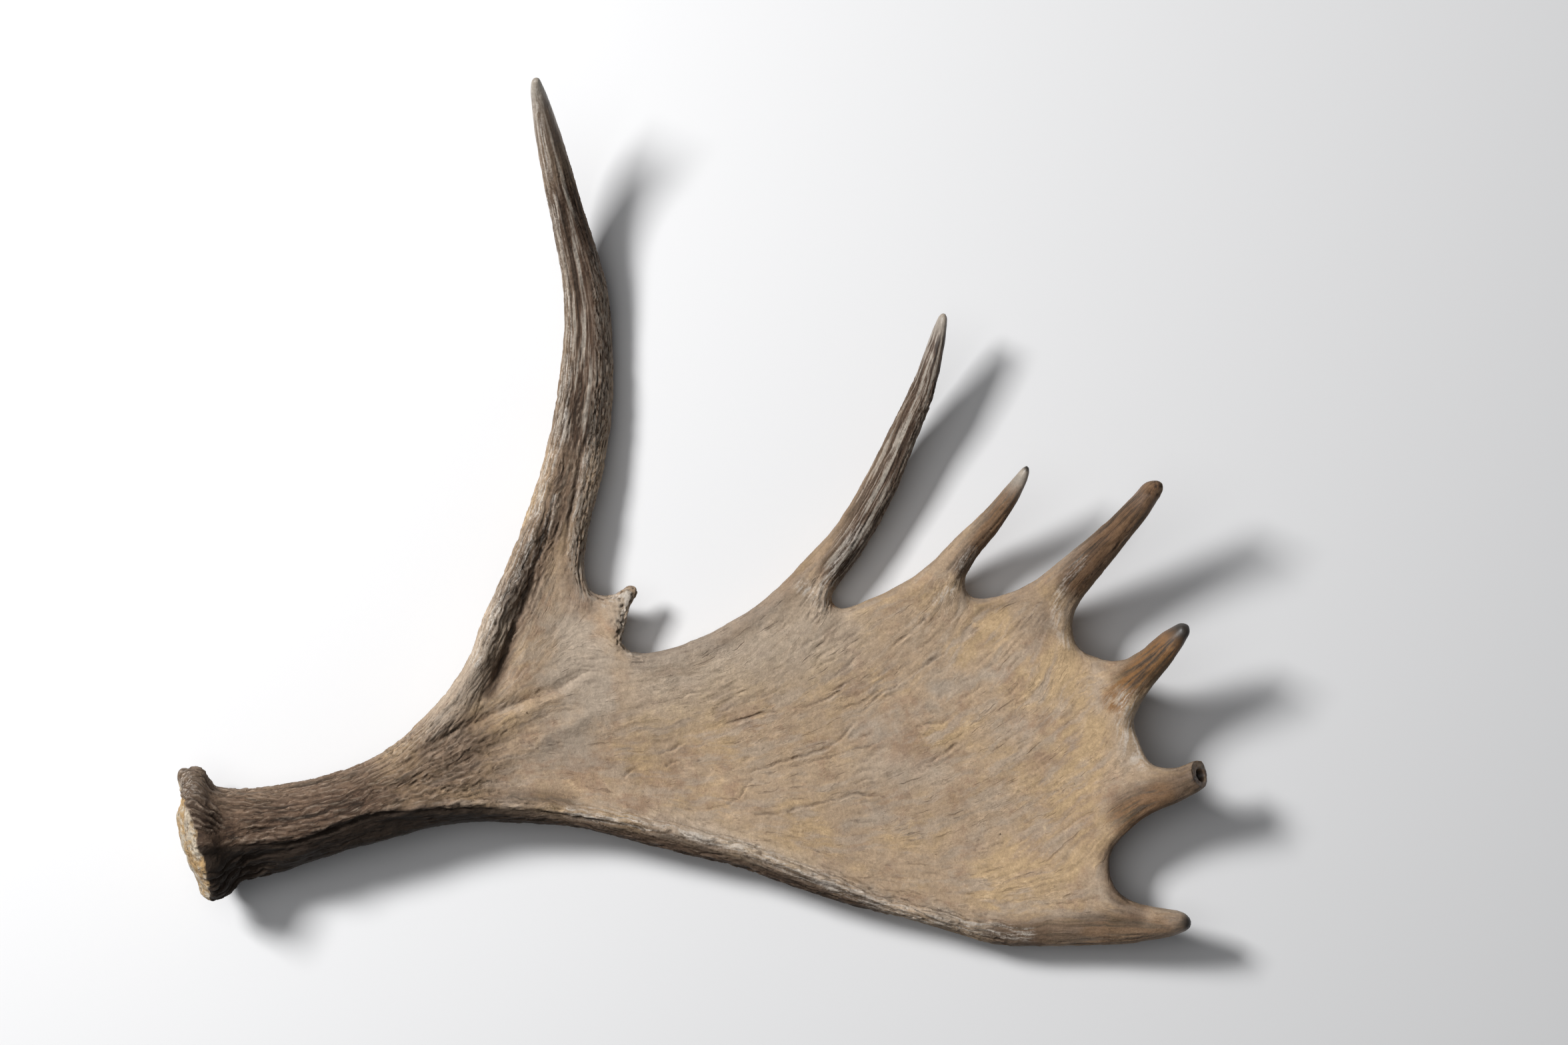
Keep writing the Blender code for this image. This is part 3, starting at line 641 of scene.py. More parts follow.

# %% [markdown]
# The longest grooves and ridges have names of their own on this antler, so they are drawn
# one line each, through places read off the photograph. The back can't be seen in it. Its
# few veins are a guess, and follow the growth lines from the beam to the points.

# %% Grooves and ridges drawn one line each
# width and height in mm, then pixels along the line; a groove's height is below nought
DRAWN_ABOVE = {
    "groove of the tine": (2.2, -1.6, [
        (886, 560), (880, 640), (868, 700), (860, 752), (852, 790), (846, 850)]),
    "ridge beside it": (3.2, 1.1, [(884, 677), (873, 727), (863, 780), (857, 830)]),
    "brow's ridge": (6.5, 2.4, [(815, 770), (783, 860), (758, 925), (736, 978), (712, 1018)]),
    "brow's gutter": (4.0, -1.9, [(822, 780), (798, 865), (776, 932), (756, 990), (735, 1036)]),
    "crest of the lower rim": (2.6, 1.7, CREST_OF_RIM),
    "ledge under the rim": (2.4, -1.6, [
        (340, 1272), (440, 1266), (500, 1246), (560, 1224), (640, 1217), (727, 1214), (830, 1221),
        (900, 1233), (1000, 1252), (1100, 1277), (1200, 1314), (1332, 1364)]),
    "hollow under the ledge": (11, -2.2, [(360, 1288), (450, 1274), (540, 1243), (640, 1228)]),
    "second ledge": (1.6, -0.9, [
        (900, 1228), (1000, 1247), (1100, 1272), (1200, 1310), (1330, 1361), (1430, 1388)]),
    "crease inside the rim": (2.0, -0.5, [
        (900, 1196), (1000, 1218), (1100, 1243), (1180, 1270), (1290, 1318), (1400, 1352)]),
    "vein 1": (1.5, -0.8, [
        (620, 1136), (680, 1098), (727, 1078), (767, 1058), (829, 1036), (893, 1000)]),
    "lip of vein 1": (3, 0.7, [(690, 1106), (730, 1089), (770, 1068), (832, 1045), (900, 1008)]),
    "vein 2": (1.4, -0.7, [(660, 1126), (700, 1112), (747, 1088)]),
    "pale rib": (2.6, 0.8, [(797, 1117), (840, 1095), (873, 1078), (910, 1059)]),
    "crease 1": (1.6, -1.2, [(932, 1166), (947, 1156), (962, 1151)]),
    "crease 2": (1.6, -1.4, [(985, 1132), (1015, 1119), (1035, 1110)]),
    "crease 3": (1.5, -1.2, [(990, 1154), (1005, 1146), (1021, 1140)]),
    "crease 4": (1.5, -1.2, [(1062, 1098), (1100, 1084), (1140, 1072), (1172, 1066)]),
    "crease 5": (1.4, -0.9, [(1180, 1065), (1210, 1060), (1240, 1050), (1260, 1036), (1282, 1024)]),
    "crease 6": (1.7, -1.7, [
        (1122, 1160), (1160, 1147), (1210, 1132), (1240, 1122), (1264, 1104), (1285, 1080)]),
    "crease 7": (1.5, -1.2, [(1288, 1076), (1322, 1040), (1345, 1028), (1375, 1005), (1425, 974)]),
    "crease 8": (1.5, -1.0, [(1005, 1212), (1060, 1212), (1098, 1204), (1122, 1178), (1140, 1160)]),
    "crease 9": (1.7, -1.6, [
        (1115, 1222), (1170, 1219), (1210, 1210), (1250, 1200), (1282, 1192), (1340, 1197)]),
    "crease 10": (1.4, -0.9, [(1166, 1158), (1210, 1145), (1250, 1134), (1284, 1118)]),
    "crease 11": (1.4, -0.8, [(1240, 1038), (1258, 1030), (1274, 1023)]),
    "crease 12": (1.4, -0.8, [(1020, 1048), (1036, 1041), (1052, 1036)]),
    "crease 13": (1.4, -0.8, [(1360, 1160), (1400, 1140), (1450, 1108)]),
    "crease 14": (1.4, -0.8, [(1180, 985), (1230, 955), (1270, 925)]),
    "crease 15": (1.4, -0.8, [(1330, 980), (1375, 940), (1405, 915)]),
    "root of point 2": (3.0, 1.0, [(1236, 905), (1240, 880), (1262, 842), (1290, 795)]),
    "root of point 3": (2.6, 0.9, [(1418, 915), (1422, 886), (1436, 855), (1458, 826)]),
    "root of point 4": (3.0, 1.4, [(1652, 822), (1612, 856), (1588, 900), (1588, 940), (1604, 966)]),
    "root of point 5": (2.8, 1.2, [
        (1712, 1002), (1690, 1032), (1685, 1078), (1692, 1118), (1708, 1142)]),
    "burr fold 1": (1.5, 2.1, [(272, 1193), (290, 1195), (306, 1203), (324, 1215), (345, 1226)]),
    "burr fold 2": (1.5, 2.2, [(272, 1203), (291, 1206), (308, 1215), (324, 1226), (344, 1235)]),
    "burr fold 3": (1.5, 2.2, [(274, 1214), (293, 1217), (309, 1227), (324, 1236), (342, 1243)]),
    "burr fold 4": (1.4, 2.0, [(280, 1226), (297, 1229), (312, 1238), (330, 1247)]),
    "burr fold 5": (1.4, 1.7, [(286, 1238), (302, 1241), (315, 1248), (332, 1255)]),
    "burr gap 1": (1.4, -1.9, [(272, 1198), (291, 1200), (307, 1209), (324, 1220), (345, 1230)]),
    "burr gap 2": (1.4, -2.0, [(273, 1208), (292, 1211), (309, 1221), (324, 1231), (343, 1239)]),
    "burr gap 3": (1.4, -2.0, [(277, 1220), (295, 1223), (311, 1233), (326, 1242), (342, 1248)]),
    "burr gap 4": (1.4, -1.8, [(283, 1232), (300, 1235), (314, 1243), (332, 1251)]),
}
DRAWN_BELOW = {
    "back vein 1": (2.0, -0.9, [(620, 1150), (760, 1110), (930, 1040), (1100, 970), (1200, 900)]),
    "back vein 2": (2.0, -0.9, [(650, 1170), (850, 1130), (1080, 1060), (1300, 1000), (1440, 900)]),
    "back vein 3": (1.8, -0.8, [(900, 1150), (1150, 1130), (1400, 1050), (1580, 960)]),
    "back vein 4": (1.8, -0.8, [(950, 1180), (1250, 1200), (1500, 1150), (1680, 1070)]),
    "back vein 5": (1.8, -0.7, [(1050, 1210), (1300, 1270), (1550, 1260), (1720, 1210)]),
    "back vein 6": (1.8, -0.7, [(640, 1110), (720, 1000), (790, 850), (850, 700)]),
}


def drawn_relief(forms, face, heights):
    """Height of drawn lines, on one face of the antler only. Ridges are rounded. Grooves
    are sharp at the bottom, and the bone on their right is heaved up into a lip."""
    total = np.zeros(len(plan))
    wander = 1.1 * MM * noise(points / (8 * MM), 11) + 0.5 * MM * noise(points / (3 * MM), 23)
    uneven = np.clip(0.8 + 0.9 * noise(points / (13 * MM), 24), 0.2, 1.4)
    for width, height, pixels in forms.values():
        line = resample(smooth_line(on_antler(pixels, heights)), 2 * MM)
        distance, travelled = distance_to(line, plan, 5 * width * MM)
        length = np.linalg.norm(np.diff(line, axis=0), axis=1).sum()
        end = min(14 * MM, 0.35 * length)
        taper = np.clip(np.minimum(travelled, length - travelled) / end, 0.0, 1)
        off = (distance + wander) / (width * MM)
        if height > 0:
            shape = np.exp(-off ** 2)
        else:
            shape = np.clip(1 - np.abs(off), 0, 1) ** 1.3 - 0.4 * np.exp(-((off + 1.3) / 0.7) ** 2)
        total += height * MM * taper * shape * face * uneven
    return total


relief += drawn_relief(DRAWN_ABOVE, facing_up, top_map)
relief += drawn_relief(DRAWN_BELOW, 1 - facing_up, middle_map)
print("with the drawn lines: %.2f to %.2f mm" % (relief.min() / MM, relief.max() / MM))

# %% [markdown]
# ## The burr
#
# The burr is the crown of knobs where the antler stood on the skull. Blood vessels ran up
# between the knobs, so furrows stream from it onto the beam. The seal is the domed scar where
# it dropped off: bare, porous bone.

# %% Knobs, furrows and the seal
# turn round the axis from straight up, place along it in mm, size and height in mm
KNOBS = [
    (82, 1, 5.5, 3.6), (64, 3, 4.5, 3.2), (50, 1, 4.5, 2.0), (37, 3, 4.5, 1.6), (24, 2, 4, 1.2),
    (11, 3, 4, 1), (-5, 3, 4.5, 0.8), (-28, 2, 5, 0.8), (-52, 3, 4.5, 0.8), (-76, 1, 4, 1.4),
    (104, 4, 6, 2.4), (128, 3, 6, 2.4), (154, 5, 6, 2), (180, 3, 6, 2.2), (206, 4, 5, 1.8),
    (232, 3, 5, 1.8), (256, 4, 4, 1.2)]
SEAL_EDGE = [
    (268, 1196), (279, 1199), (284, 1217), (290, 1232), (295, 1249), (294, 1264), (303, 1288),
    (311, 1308), (313, 1328), (315, 1356)]
KNOB_STRETCH = 2.0                # how much longer a knob is towards the beam than round it
FURROW_WIDTH = 6 * MM

turn = np.arctan2(across, points[:, 2] - BURR_RISE)
radius = np.hypot(across, points[:, 2] - BURR_RISE)
for angle, place, size, height in KNOBS:
    knob = np.column_stack([(along - place * MM) / np.where(along > place * MM, KNOB_STRETCH, 1),
                            across - BURR_RADIUS * np.sin(np.radians(angle)),
                            points[:, 2] - BURR_RISE - BURR_RADIUS * np.cos(np.radians(angle))])
    relief += height * MM * np.exp(-((knob / (size * MM)) ** 2).sum(1) ** 1.5)

turn_wobble = turn + 0.10 * noise(points / (9 * MM), 25)
rings = BURR_RADIUS / FURROW_WIDTH
furrow_places = np.column_stack([along / (30 * MM), np.sin(turn_wobble) * rings,
                                 np.cos(turn_wobble) * rings])
furrowed = step_up(along, -2 * MM, 4 * MM) * (1 - step_up(along, 24 * MM, 52 * MM))
furrowed *= 0.3 + 0.7 * step_up(np.abs(np.sin(turn) - 0.05), 0.55, 0.75)
relief -= 2.0 * MM * furrowed * valley(noise(furrow_places, 12), 0.36)
relief -= 0.9 * MM * furrowed * valley(noise(2.1 * furrow_places, 26), 0.34)
relief += 0.35 * MM * furrowed * noise(points / (3 * MM), 13)
rim = np.exp(-((along - 1 * MM) / (6 * MM)) ** 2) * step_up(radius, 0.8 * BURR_RADIUS, BURR_RADIUS)
relief += MM * rim * (noise(1.6 * furrow_places, 30) - valley(noise(2.3 * furrow_places, 31), 0.3))

ragged = along + 1.6 * MM * noise(points / (6 * MM), 34)
seal = (1 - step_up(ragged, -2.5 * MM, 0.5 * MM)) * (
    1 - step_up(radius, 0.90 * BURR_RADIUS, 0.99 * BURR_RADIUS))
seal_edge = on_antler(SEAL_EDGE)
for _ in range(3):
    rise = np.sqrt(np.maximum(BURR_RADIUS ** 2 - burr_frame(seal_edge)[1] ** 2, 0))
    seal_edge = plan_of(SEAL_EDGE, BURR_RISE + rise)
outside = distance_to(seal_edge, plan)[0] - (ragged - along)
on_rim = step_up(normals[:, 2], -0.6, 0) * (along < 25 * MM)
seal = np.maximum(seal, on_rim * (1 - step_up(outside, -0.8 * MM, 0.8 * MM)))
pores = np.clip(noise(points / (2.2 * MM), 15) - 0.1, 0, 1)
relief += seal * MM * (0.9 * noise(points / (8 * MM), 14) + 0.4 * noise(points / (3.4 * MM), 27)
                       - 1.5 * pores)
print("burr carved")

# %% Move every point along its normal
points += normals * relief[:, None]
set_points(antler.data, points)
print("carved box:", points.min(0).round(4), points.max(0).round(4))

# %% [markdown]
# ## Broken and worn ends
#
# Point 6 is snapped off and shows its hollow core, point 4 ends in a blunt rough cap, and the
# snag in the bay has a pitted, crumbling edge.

# %% Ends
BREAK_PIXEL = (1801, 1163)
BREAK_FACES = (0.72, 0.32, 0.62)     # the way the broken face looks
CORE_RADIUS = 5.2 * MM
CORE_DEPTH = 5 * MM
SNAG_LINE = [(950, 884), (942, 905), (936, 935), (938, 962)]

break_plan = on_antler([BREAK_PIXEL])
break_centre = np.append(break_plan[0], look_up(middle_map, break_plan)[0] + 1.5 * MM)
from_break = points - break_centre
outward = np.array(BREAK_FACES) / np.linalg.norm(BREAK_FACES)
beyond = from_break @ outward
near_break = np.linalg.norm(from_break, axis=1) < 16 * MM
chipped = 0.5 * MM * noise(points / (2.5 * MM), 16)
past = near_break & (beyond > chipped)
points[past] -= (beyond - chipped)[past, None] * outward
off_centre = np.linalg.norm(from_break - beyond[:, None] * outward, axis=1)
hollow = past * (1 - step_up(off_centre, 0.55 * CORE_RADIUS, CORE_RADIUS))
points -= CORE_DEPTH * hollow[:, None] * outward

pits = np.clip(noise(points / (2.8 * MM), 28) - 0.1, 0, 1)
snag = near_line(SNAG_LINE, 11 * MM)
cap = near_pixel(TIPS["point 4"], 12 * MM, 0.5)
ends = 3.6 * MM * snag * pits + 2.4 * MM * cap * pits
points -= normals * ends[:, None]
relief -= ends
points[:, 2] = np.maximum(points[:, 2], 0)
set_points(antler.data, points)
print("broken face:", int(past.sum()), "points, hollow:", int((hollow > 0.5).sum()))

# %% [markdown]
# Where the gouge went deep into a narrow place, the skin may have crumpled. Such places are found
# by faces that look away from the skin round them, and are smoothed over.

# %% Smooth crumpled places
CRUMPLED_TURN = 0.3                  # cosine between a face and the skin round it
MENDING_ROUNDS = 3
MENDING_PASSES = 12
NEAR_PASSES = 3                      # blurring passes that take in what lies round a point
NEAR_STRENGTH = 8                    # makes up for what the blur takes from a lone point

mesh = antler.data
corners = read_all(mesh.loops, "vertex_index", kind=np.int64)
corner_count = read_all(mesh.polygons, "loop_total", kind=np.int64)
face_of_corner = np.repeat(np.arange(len(mesh.polygons)), corner_count)
for _ in range(MENDING_ROUNDS):
    skin_normals = around.blur(read_points(mesh, "normal"), NEAR_PASSES)
    skin_normals /= np.linalg.norm(skin_normals, axis=1)[:, None]
    face_normals = read_all(mesh.polygon_normals, "vector", 3)
    agree = (face_normals[face_of_corner] * skin_normals[corners]).sum(1)
    crumpled = np.zeros(len(points))
    crumpled[corners[agree < CRUMPLED_TURN]] = 1
    print("crumpled points:", int(crumpled.sum()))
    crumpled = np.minimum(1, NEAR_STRENGTH * around.blur(crumpled, NEAR_PASSES))
    for _ in range(MENDING_PASSES):
        points += 0.5 * crumpled[:, None] * (around.average(points) - points)
    set_points(mesh, points)

# %% [markdown]
# ## Masks for the paint
#
# The grooves are painted darker and hands rub the crests pale. Both follow from the carving: a point
# is in a groove if it lies below the average of its surroundings, and on a crest if it lies
# above it. Other masks say where the bone took more stain, where painted shade darkens it, where it
# wore chalky, where it is pitted, and how each tip is coloured. The paint reads them all from the mesh,
# as attributes.

# %% Stain and painted shade, chalk, pits and tips
# strength, reach in mm, and pixels along the line
STAIN_AND_PAINTED_SHADE = {
    "beam": (1.0, 85, [(292, 1262), (430, 1250), (540, 1222)]),
    "fork": (0.74, 66, [(540, 1222), (620, 1185), (690, 1130)]),
    # underside: brown stain, and painted shade on the rim's lower side, which faces away from the light
    "underside": (1.0, 20, [
        (600, 1232), (760, 1236), (900, 1252), (1040, 1286), (1180, 1328), (1300, 1372)]),
    "brow branch": (0.85, 26, [(775, 900), (800, 840), (840, 760), (866, 670)]),
    "brow's root": (0.55, 22, [(698, 1052), (745, 975), (775, 900)]),
    # gutter: painted shadow in the gutter beside the brow's ridge
    "gutter": (0.85, 11, [(828, 770), (798, 865), (776, 932), (756, 990), (735, 1036)]),
    "web of the brow": (0.6, 28, [(862, 770), (866, 850), (876, 900)]),
    "root of point 4": (0.45, 26, [(1555, 935), (1600, 880), (1645, 825)]),
    "inner palm": (0.3, 42, [(790, 1120), (900, 1125), (980, 1130)]),
    "middle of the palm": (0.15, 40, [(1280, 1060), (1350, 1090)]),
    "lower right": (0.2, 60, [(1380, 1215), (1560, 1240)]),
    "above the crest": (0.6, 15, [(560, 1200), (727, 1190), (850, 1198)]),
    # bay 6 to 7: brown stain, and painted shade on the bay's curved edge
    "bay 6 to 7": (0.8, 20, [(1725, 1226), (1668, 1283), (1685, 1343)]),
    "cap of point 4": (1.0, 9, [(1718, 744), (1733, 727)]),
    "root of point 7": (0.8, 20, [(1500, 1400), (1600, 1396), (1700, 1378)]),
    "upper edge": (0.5, 22, [(960, 985), (1080, 950), (1168, 890), (1240, 815)]),
    "bay 2 to 3": (0.35, 14, [(1248, 905), (1345, 883), (1440, 803)]),
    "bay 3 to 4": (0.5, 22, [(1448, 880), (1475, 900), (1552, 873), (1650, 793)]),
    "bay 4 to 5": (0.45, 20, [(1617, 912), (1619, 975), (1680, 993)]),
    "break of point 6": (1.0, 7, [(1790, 1168), (1806, 1160)]),
    **TINES,
}
CHALKY = {
    "ridge of the brow branch": (1.0, 6, [
        (846, 620), (837, 660), (812, 740), (795, 802), (775, 865), (747, 915), (715, 990)]),
    "ridge's left": (0.35, 5, [(825, 660), (800, 735), (780, 805), (757, 870), (728, 930)]),
    "small ridges": (0.8, 3.5, [(835, 747), (820, 795), (800, 847)]),
    "left side of the tine": (0.8, 6, [
        (846, 600), (852, 520), (846, 430), (832, 330), (811, 215), (802, 140)]),
    "ridge beside the groove": (0.7, 4, [(886, 660), (873, 727), (863, 780), (857, 830)]),
    "crest of the rim": (0.9, 6.5, [
        (860, 1214), (951, 1230), (1045, 1250), (1139, 1278), (1274, 1335), (1332, 1358),
        (1400, 1376), (1461, 1390), (1540, 1400)]),
    "root of point 2": (0.9, 7, [(1205, 880), (1236, 905), (1240, 880), (1262, 842), (1290, 795)]),
    "root of point 3": (0.8, 5, [(1400, 900), (1422, 890), (1436, 855), (1458, 826)]),
    "root of point 4": (0.55, 5, [(1626, 840), (1600, 864), (1582, 906), (1585, 940), (1600, 965)]),
    "root of point 5": (0.8, 9, [(1690, 1045), (1686, 1082), (1693, 1115), (1712, 1140)]),
    "burr's knob": (0.5, 9, [(280, 1168), (296, 1180)]),
    "lip of the snag": (0.9, 4, [(905, 905), (942, 890), (936, 935), (938, 962)]),
    "side of point 2": (0.6, 5, [(1330, 790), (1362, 720), (1390, 640)]),
}
PITTED = {
    "tine's right side": (1.0, 9, [
        (898, 380), (906, 450), (910, 530), (904, 620), (892, 700), (876, 790), (868, 850)]),
    "web's edge": (1.0, 8, [(868, 850), (880, 888), (940, 885), (936, 940), (950, 975)]),
    "point 2": (0.8, 8, [(1262, 890), (1320, 800), (1365, 700), (1392, 610)]),
    "fork's ridge": (0.6, 9, [(587, 1120), (663, 1085), (710, 1030), (745, 960), (790, 860)]),
}
ORANGE = {
    "point 5": (1.0, 12, [(1672, 1050), (1720, 995), (1765, 955)]),
    "point 6": (0.5, 14, [(1680, 1230), (1740, 1195)]),
    "notch at point 2": (0.8, 5, [(1240, 905), (1256, 903)]),
    "point 3": (0.5, 10, [(1470, 820), (1520, 740)]),
    "point 4": (0.38, 14, [(1620, 870), (1720, 740)]),
    "point 7": (0.3, 12, [(1640, 1400), (1740, 1388)]),
}
OCHRE_PATCHES = {
    "right": (1.0, 32, [(1600, 1040), (1625, 1110), (1610, 1200)]),
    "lower right": (1.0, 34, [(1500, 1320), (1590, 1270)]),
    "left": (0.8, 20, [(930, 1130), (960, 1090), (1010, 1060)]),
    "upper": (0.5, 18, [(1150, 1050), (1250, 1015)]),
    "low": (0.5, 16, [(1340, 1260), (1400, 1240)]),
    "centre": (0.6, 15, [(1400, 1110), (1460, 1070)]),
    "top": (0.5, 18, [(1440, 975), (1500, 930)]),
}
PALE_PATCHES = {
    "upper palm": (0.8, 50, [(1000, 1020), (1130, 975), (1230, 950)]),
    "lower edge": (0.6, 14, [(985, 1226), (1060, 1246), (1160, 1282), (1250, 1316)]),
    "root of the brow": (1.0, 20, [(660, 1075), (705, 1020), (740, 950), (760, 890)]),
    "between the creases": (0.5, 18, [(1300, 1150), (1400, 1160)]),
}
RED_PATCHES = {
    "right": (1.0, 45, [(1560, 1080), (1610, 1190), (1560, 1290)]),
    "centre": (0.7, 36, [(1290, 1060), (1400, 1180)]),
    "inner palm": (0.8, 30, [(860, 1150), (960, 1165), (1060, 1195)]),
    "beam": (0.8, 30, [(400, 1215), (560, 1180), (700, 1190)]),
}
GREY_PATCHES = {
    "web": (1.0, 40, [(850, 1100), (870, 1000), (880, 930)]),
    "upper edge": (0.9, 22, [(960, 985), (1080, 955), (1160, 900)]),
    "centre": (0.7, 20, [(1290, 1090), (1390, 1060)]),
    "above the centre": (0.7, 13, [(1400, 1035), (1500, 1010)]),
    "right": (0.3, 16, [(1480, 1100), (1525, 1090)]),
    "low": (0.8, 15, [(1265, 1240), (1315, 1228)]),
    # lower edge: a painted highlight along the rim's lower edge
    "lower edge": (0.8, 13, [(1290, 1330), (1400, 1365), (1500, 1390)]),
}
PALE_TIPS = {"brow tine": 22 * MM, "point 2": 22 * MM, "point 3": 26 * MM}
BLACK_TIPS = {"point 3": 4 * MM, "point 5": 18 * MM, "point 7": 9 * MM}
SILVERY = {
    "brow tine": (1.0, 15, [
        (858, 640), (868, 560), (862, 470), (850, 380), (833, 290), (814, 200), (804, 130)]),
    "point 2": (1.0, 12, [(1256, 850), (1302, 760), (1343, 670), (1379, 580), (1401, 510)]),
}
SETTLING_BLUR = 10               # passes that average a point's surroundings
NOTICED = 0.08 * MM              # relief that is too low to hold dirt or be rubbed
FULL_GROOVE = 0.45 * MM
FULL_CREST = 0.35 * MM

burr = (1 - step_up(along, 4 * MM, 30 * MM)) * (1 - seal)
settled = around.blur(relief, SETTLING_BLUR)
masks = {
    "groove": np.clip((settled - relief - NOTICED) / FULL_GROOVE, 0, 1),
    "crest": np.clip((relief - settled - NOTICED) / FULL_CREST, 0, 1),
    "rough": np.clip(rough + furrowed + burr, 0, 1),
    "stain and painted shade": strongest(STAIN_AND_PAINTED_SHADE, 0.1) * (1 - seal),
    "chalky": strongest(CHALKY) * facing_up,
    "pitted": strongest(PITTED),
    "orange": strongest(ORANGE),
    "ochre": strongest(OCHRE_PATCHES, 0.0),
    "greyed": strongest(GREY_PATCHES, 0.0),
    "paled": strongest(PALE_PATCHES, 0.0),
    "reddened": strongest(RED_PATCHES, 0.0),
    "underside stain and painted shade": underside_stain_and_painted_shade * (1 - seal),
    "silvery": strongest(SILVERY, 0.5),
    "pale tip": at_tips(PALE_TIPS),
    "black tip": at_tips(BLACK_TIPS),
    "polish": polish * (1 - cap),
    "seal": seal,
    "burr": burr,
    "hollow": hollow,
    "grown": flow["grown"],
    "stream": flow["stream"],
    "rise": flow["rise"],
    "crowding": flow["crowding"],
}
for name, values in masks.items():
    store(antler.data, name, values)
print("masks:", sorted(masks))

# %% [markdown]
# ## Parting the antler
#
# The library wants the antler in the solids' three pieces, so the carved skin is parted where
# the saw cuts run. No one should see where. The points along a cut therefore stay exactly where
# they are on both sides, and keep the way they faced before the parting. The rim of each open
# end is then drawn in towards the middle of the bone and closed there, where no one sees it.

# %% Part the skin along the saw cuts
# the saw cuts' pixels, carried on through the air to where nothing more is cut
BROW_CUT = [(300, 1000), (610, 1078), (760, 1036), (966, 980), (985, 940), (1010, 60)]
PALM_CUT = [(760, 1036), (782, 1140), (792, 1262), (800, 1400)]
PIECES = ["beam", "brow_tine", "palm"]
CUT_GUARD = 3                    # rows of points beside a cut that thinning leaves alone


def select_only(obj):
    bpy.ops.object.select_all(action="DESELECT")
    obj.select_set(True)
    bpy.context.view_layer.objects.active = obj


centres = read_all(mesh.polygons, "center", 3)[:, :2]
right_of_brow = distance_to(on_antler(BROW_CUT), centres)[0] < 0
left_of_palm = distance_to(on_antler(PALM_CUT), centres)[0] > 0
face_piece = np.where(right_of_brow, np.where(left_of_palm, 2, 0), 1)
corner_piece = np.repeat(face_piece, corner_count)
lowest = np.full(len(points), 9)
highest = np.full(len(points), -1)
np.minimum.at(lowest, corners, corner_piece)
np.maximum.at(highest, corners, corner_piece)
on_cut = (lowest != highest).astype(float)

cut_normals = read_points(mesh, "normal") * on_cut[:, None]
store(mesh, "cut normal", cut_normals, "FLOAT_VECTOR", "vector")
store(mesh, "free", around.blur(on_cut, CUT_GUARD) == 0)

mesh.materials.clear()
for name in PIECES:
    mesh.materials.append(bpy.data.materials.new("part of " + name))
mesh.polygons.foreach_set("material_index", face_piece.astype(np.int32))
select_only(antler)
bpy.ops.mesh.separate(type="MATERIAL")
pieces = {obj.data.materials[0].name.removeprefix("part of "): obj
          for obj in bpy.context.selected_objects}
print("parted:", {name: len(obj.data.polygons) for name, obj in pieces.items()})

# %% [markdown]
# A piece with more faces than anyone needs is thinned. Collapsing edges keeps small faces on
# the grooves and leaves large ones where the bone is smooth. Points near a cut are left alone.

# %% Cap, thin and smooth each piece
MOST_TRIANGLES = 192000
RIM_SHARE = 0.2                  # of the cut's own height, in the height of a drawn-in rim
MIDDLE_SHARE = 0.8               # of the height of the bone's middle

for name, piece in pieces.items():
    select_only(piece)
    piece.name = piece.data.name = "antler_" + name
    mesh = piece.data
    triangles = sum(len(polygon.vertices) - 2 for polygon in mesh.polygons)
    if triangles > MOST_TRIANGLES:
        free = np.flatnonzero(read_all(mesh.attributes["free"].data, "value"))
        group = piece.vertex_groups.new(name="free")
        group.add(free.tolist(), 1.0, "REPLACE")
        thin = piece.modifiers.new("thin", "DECIMATE")
        thin.vertex_group = "free"
        thin.ratio = MOST_TRIANGLES / triangles
        bpy.ops.object.modifier_apply(modifier="thin")
        piece.vertex_groups.clear()
    open_points = len(mesh.vertices)
    bpy.ops.object.mode_set(mode="EDIT")
    bpy.ops.mesh.select_mode(type="EDGE")
    bpy.ops.mesh.select_all(action="DESELECT")
    bpy.ops.mesh.select_non_manifold()
    bpy.ops.mesh.extrude_edges_move()
    bpy.ops.object.mode_set(mode="OBJECT")
    places = read_points(mesh, "co")
    middle = look_up(middle_map, places[:, :2])
    drawn_in = RIM_SHARE * places[:, 2] + MIDDLE_SHARE * middle
    places[open_points:, 2] = drawn_in[open_points:]
    set_points(mesh, places)
    bpy.ops.object.mode_set(mode="EDIT")
    bpy.ops.mesh.fill_holes(sides=0)
    bpy.ops.mesh.quads_convert_to_tris(ngon_method="CLIP")
    bpy.ops.mesh.select_all(action="SELECT")
    bpy.ops.mesh.normals_make_consistent(inside=False)
    bpy.ops.object.mode_set(mode="OBJECT")
    bpy.ops.object.shade_smooth()
    kept = read_all(mesh.attributes["cut normal"].data, "vector", 3)
    kept[open_points:] = 0
    mesh.normals_split_custom_set_from_vertices(kept.tolist())
    mesh.attributes.remove(mesh.attributes["cut normal"])
    mesh.attributes.remove(mesh.attributes["free"])
    mesh.calc_loop_triangles()
    print(piece.name, len(mesh.loop_triangles), "triangles")

# %% [markdown]
# ## The bone's finish
#
# Weathered antler has no single colour. A tan palm turns grey-brown near the beam, the beam is
# dark, its underside painted near-black with stain and painted shade, the crests are worn to pale bone
# and the grooves are painted nearly black. Each step below lays one of these over the last, as a
# painter glazes, and a few steps add painted shade and painted highlights. The streaks follow the
# growth lines, for the stain soaked in along the same channels that the blood once used.

# %% Small helpers for wiring nodes


def connect(tree, value, socket):
    """A link for a socket, or a plain value set on the input."""
    if isinstance(value, bpy.types.NodeSocket):
        tree.links.new(value, socket)
    elif isinstance(value, tuple) and socket.type == "RGBA":
        socket.default_value = (*value, 1)
    else:
        socket.default_value = value


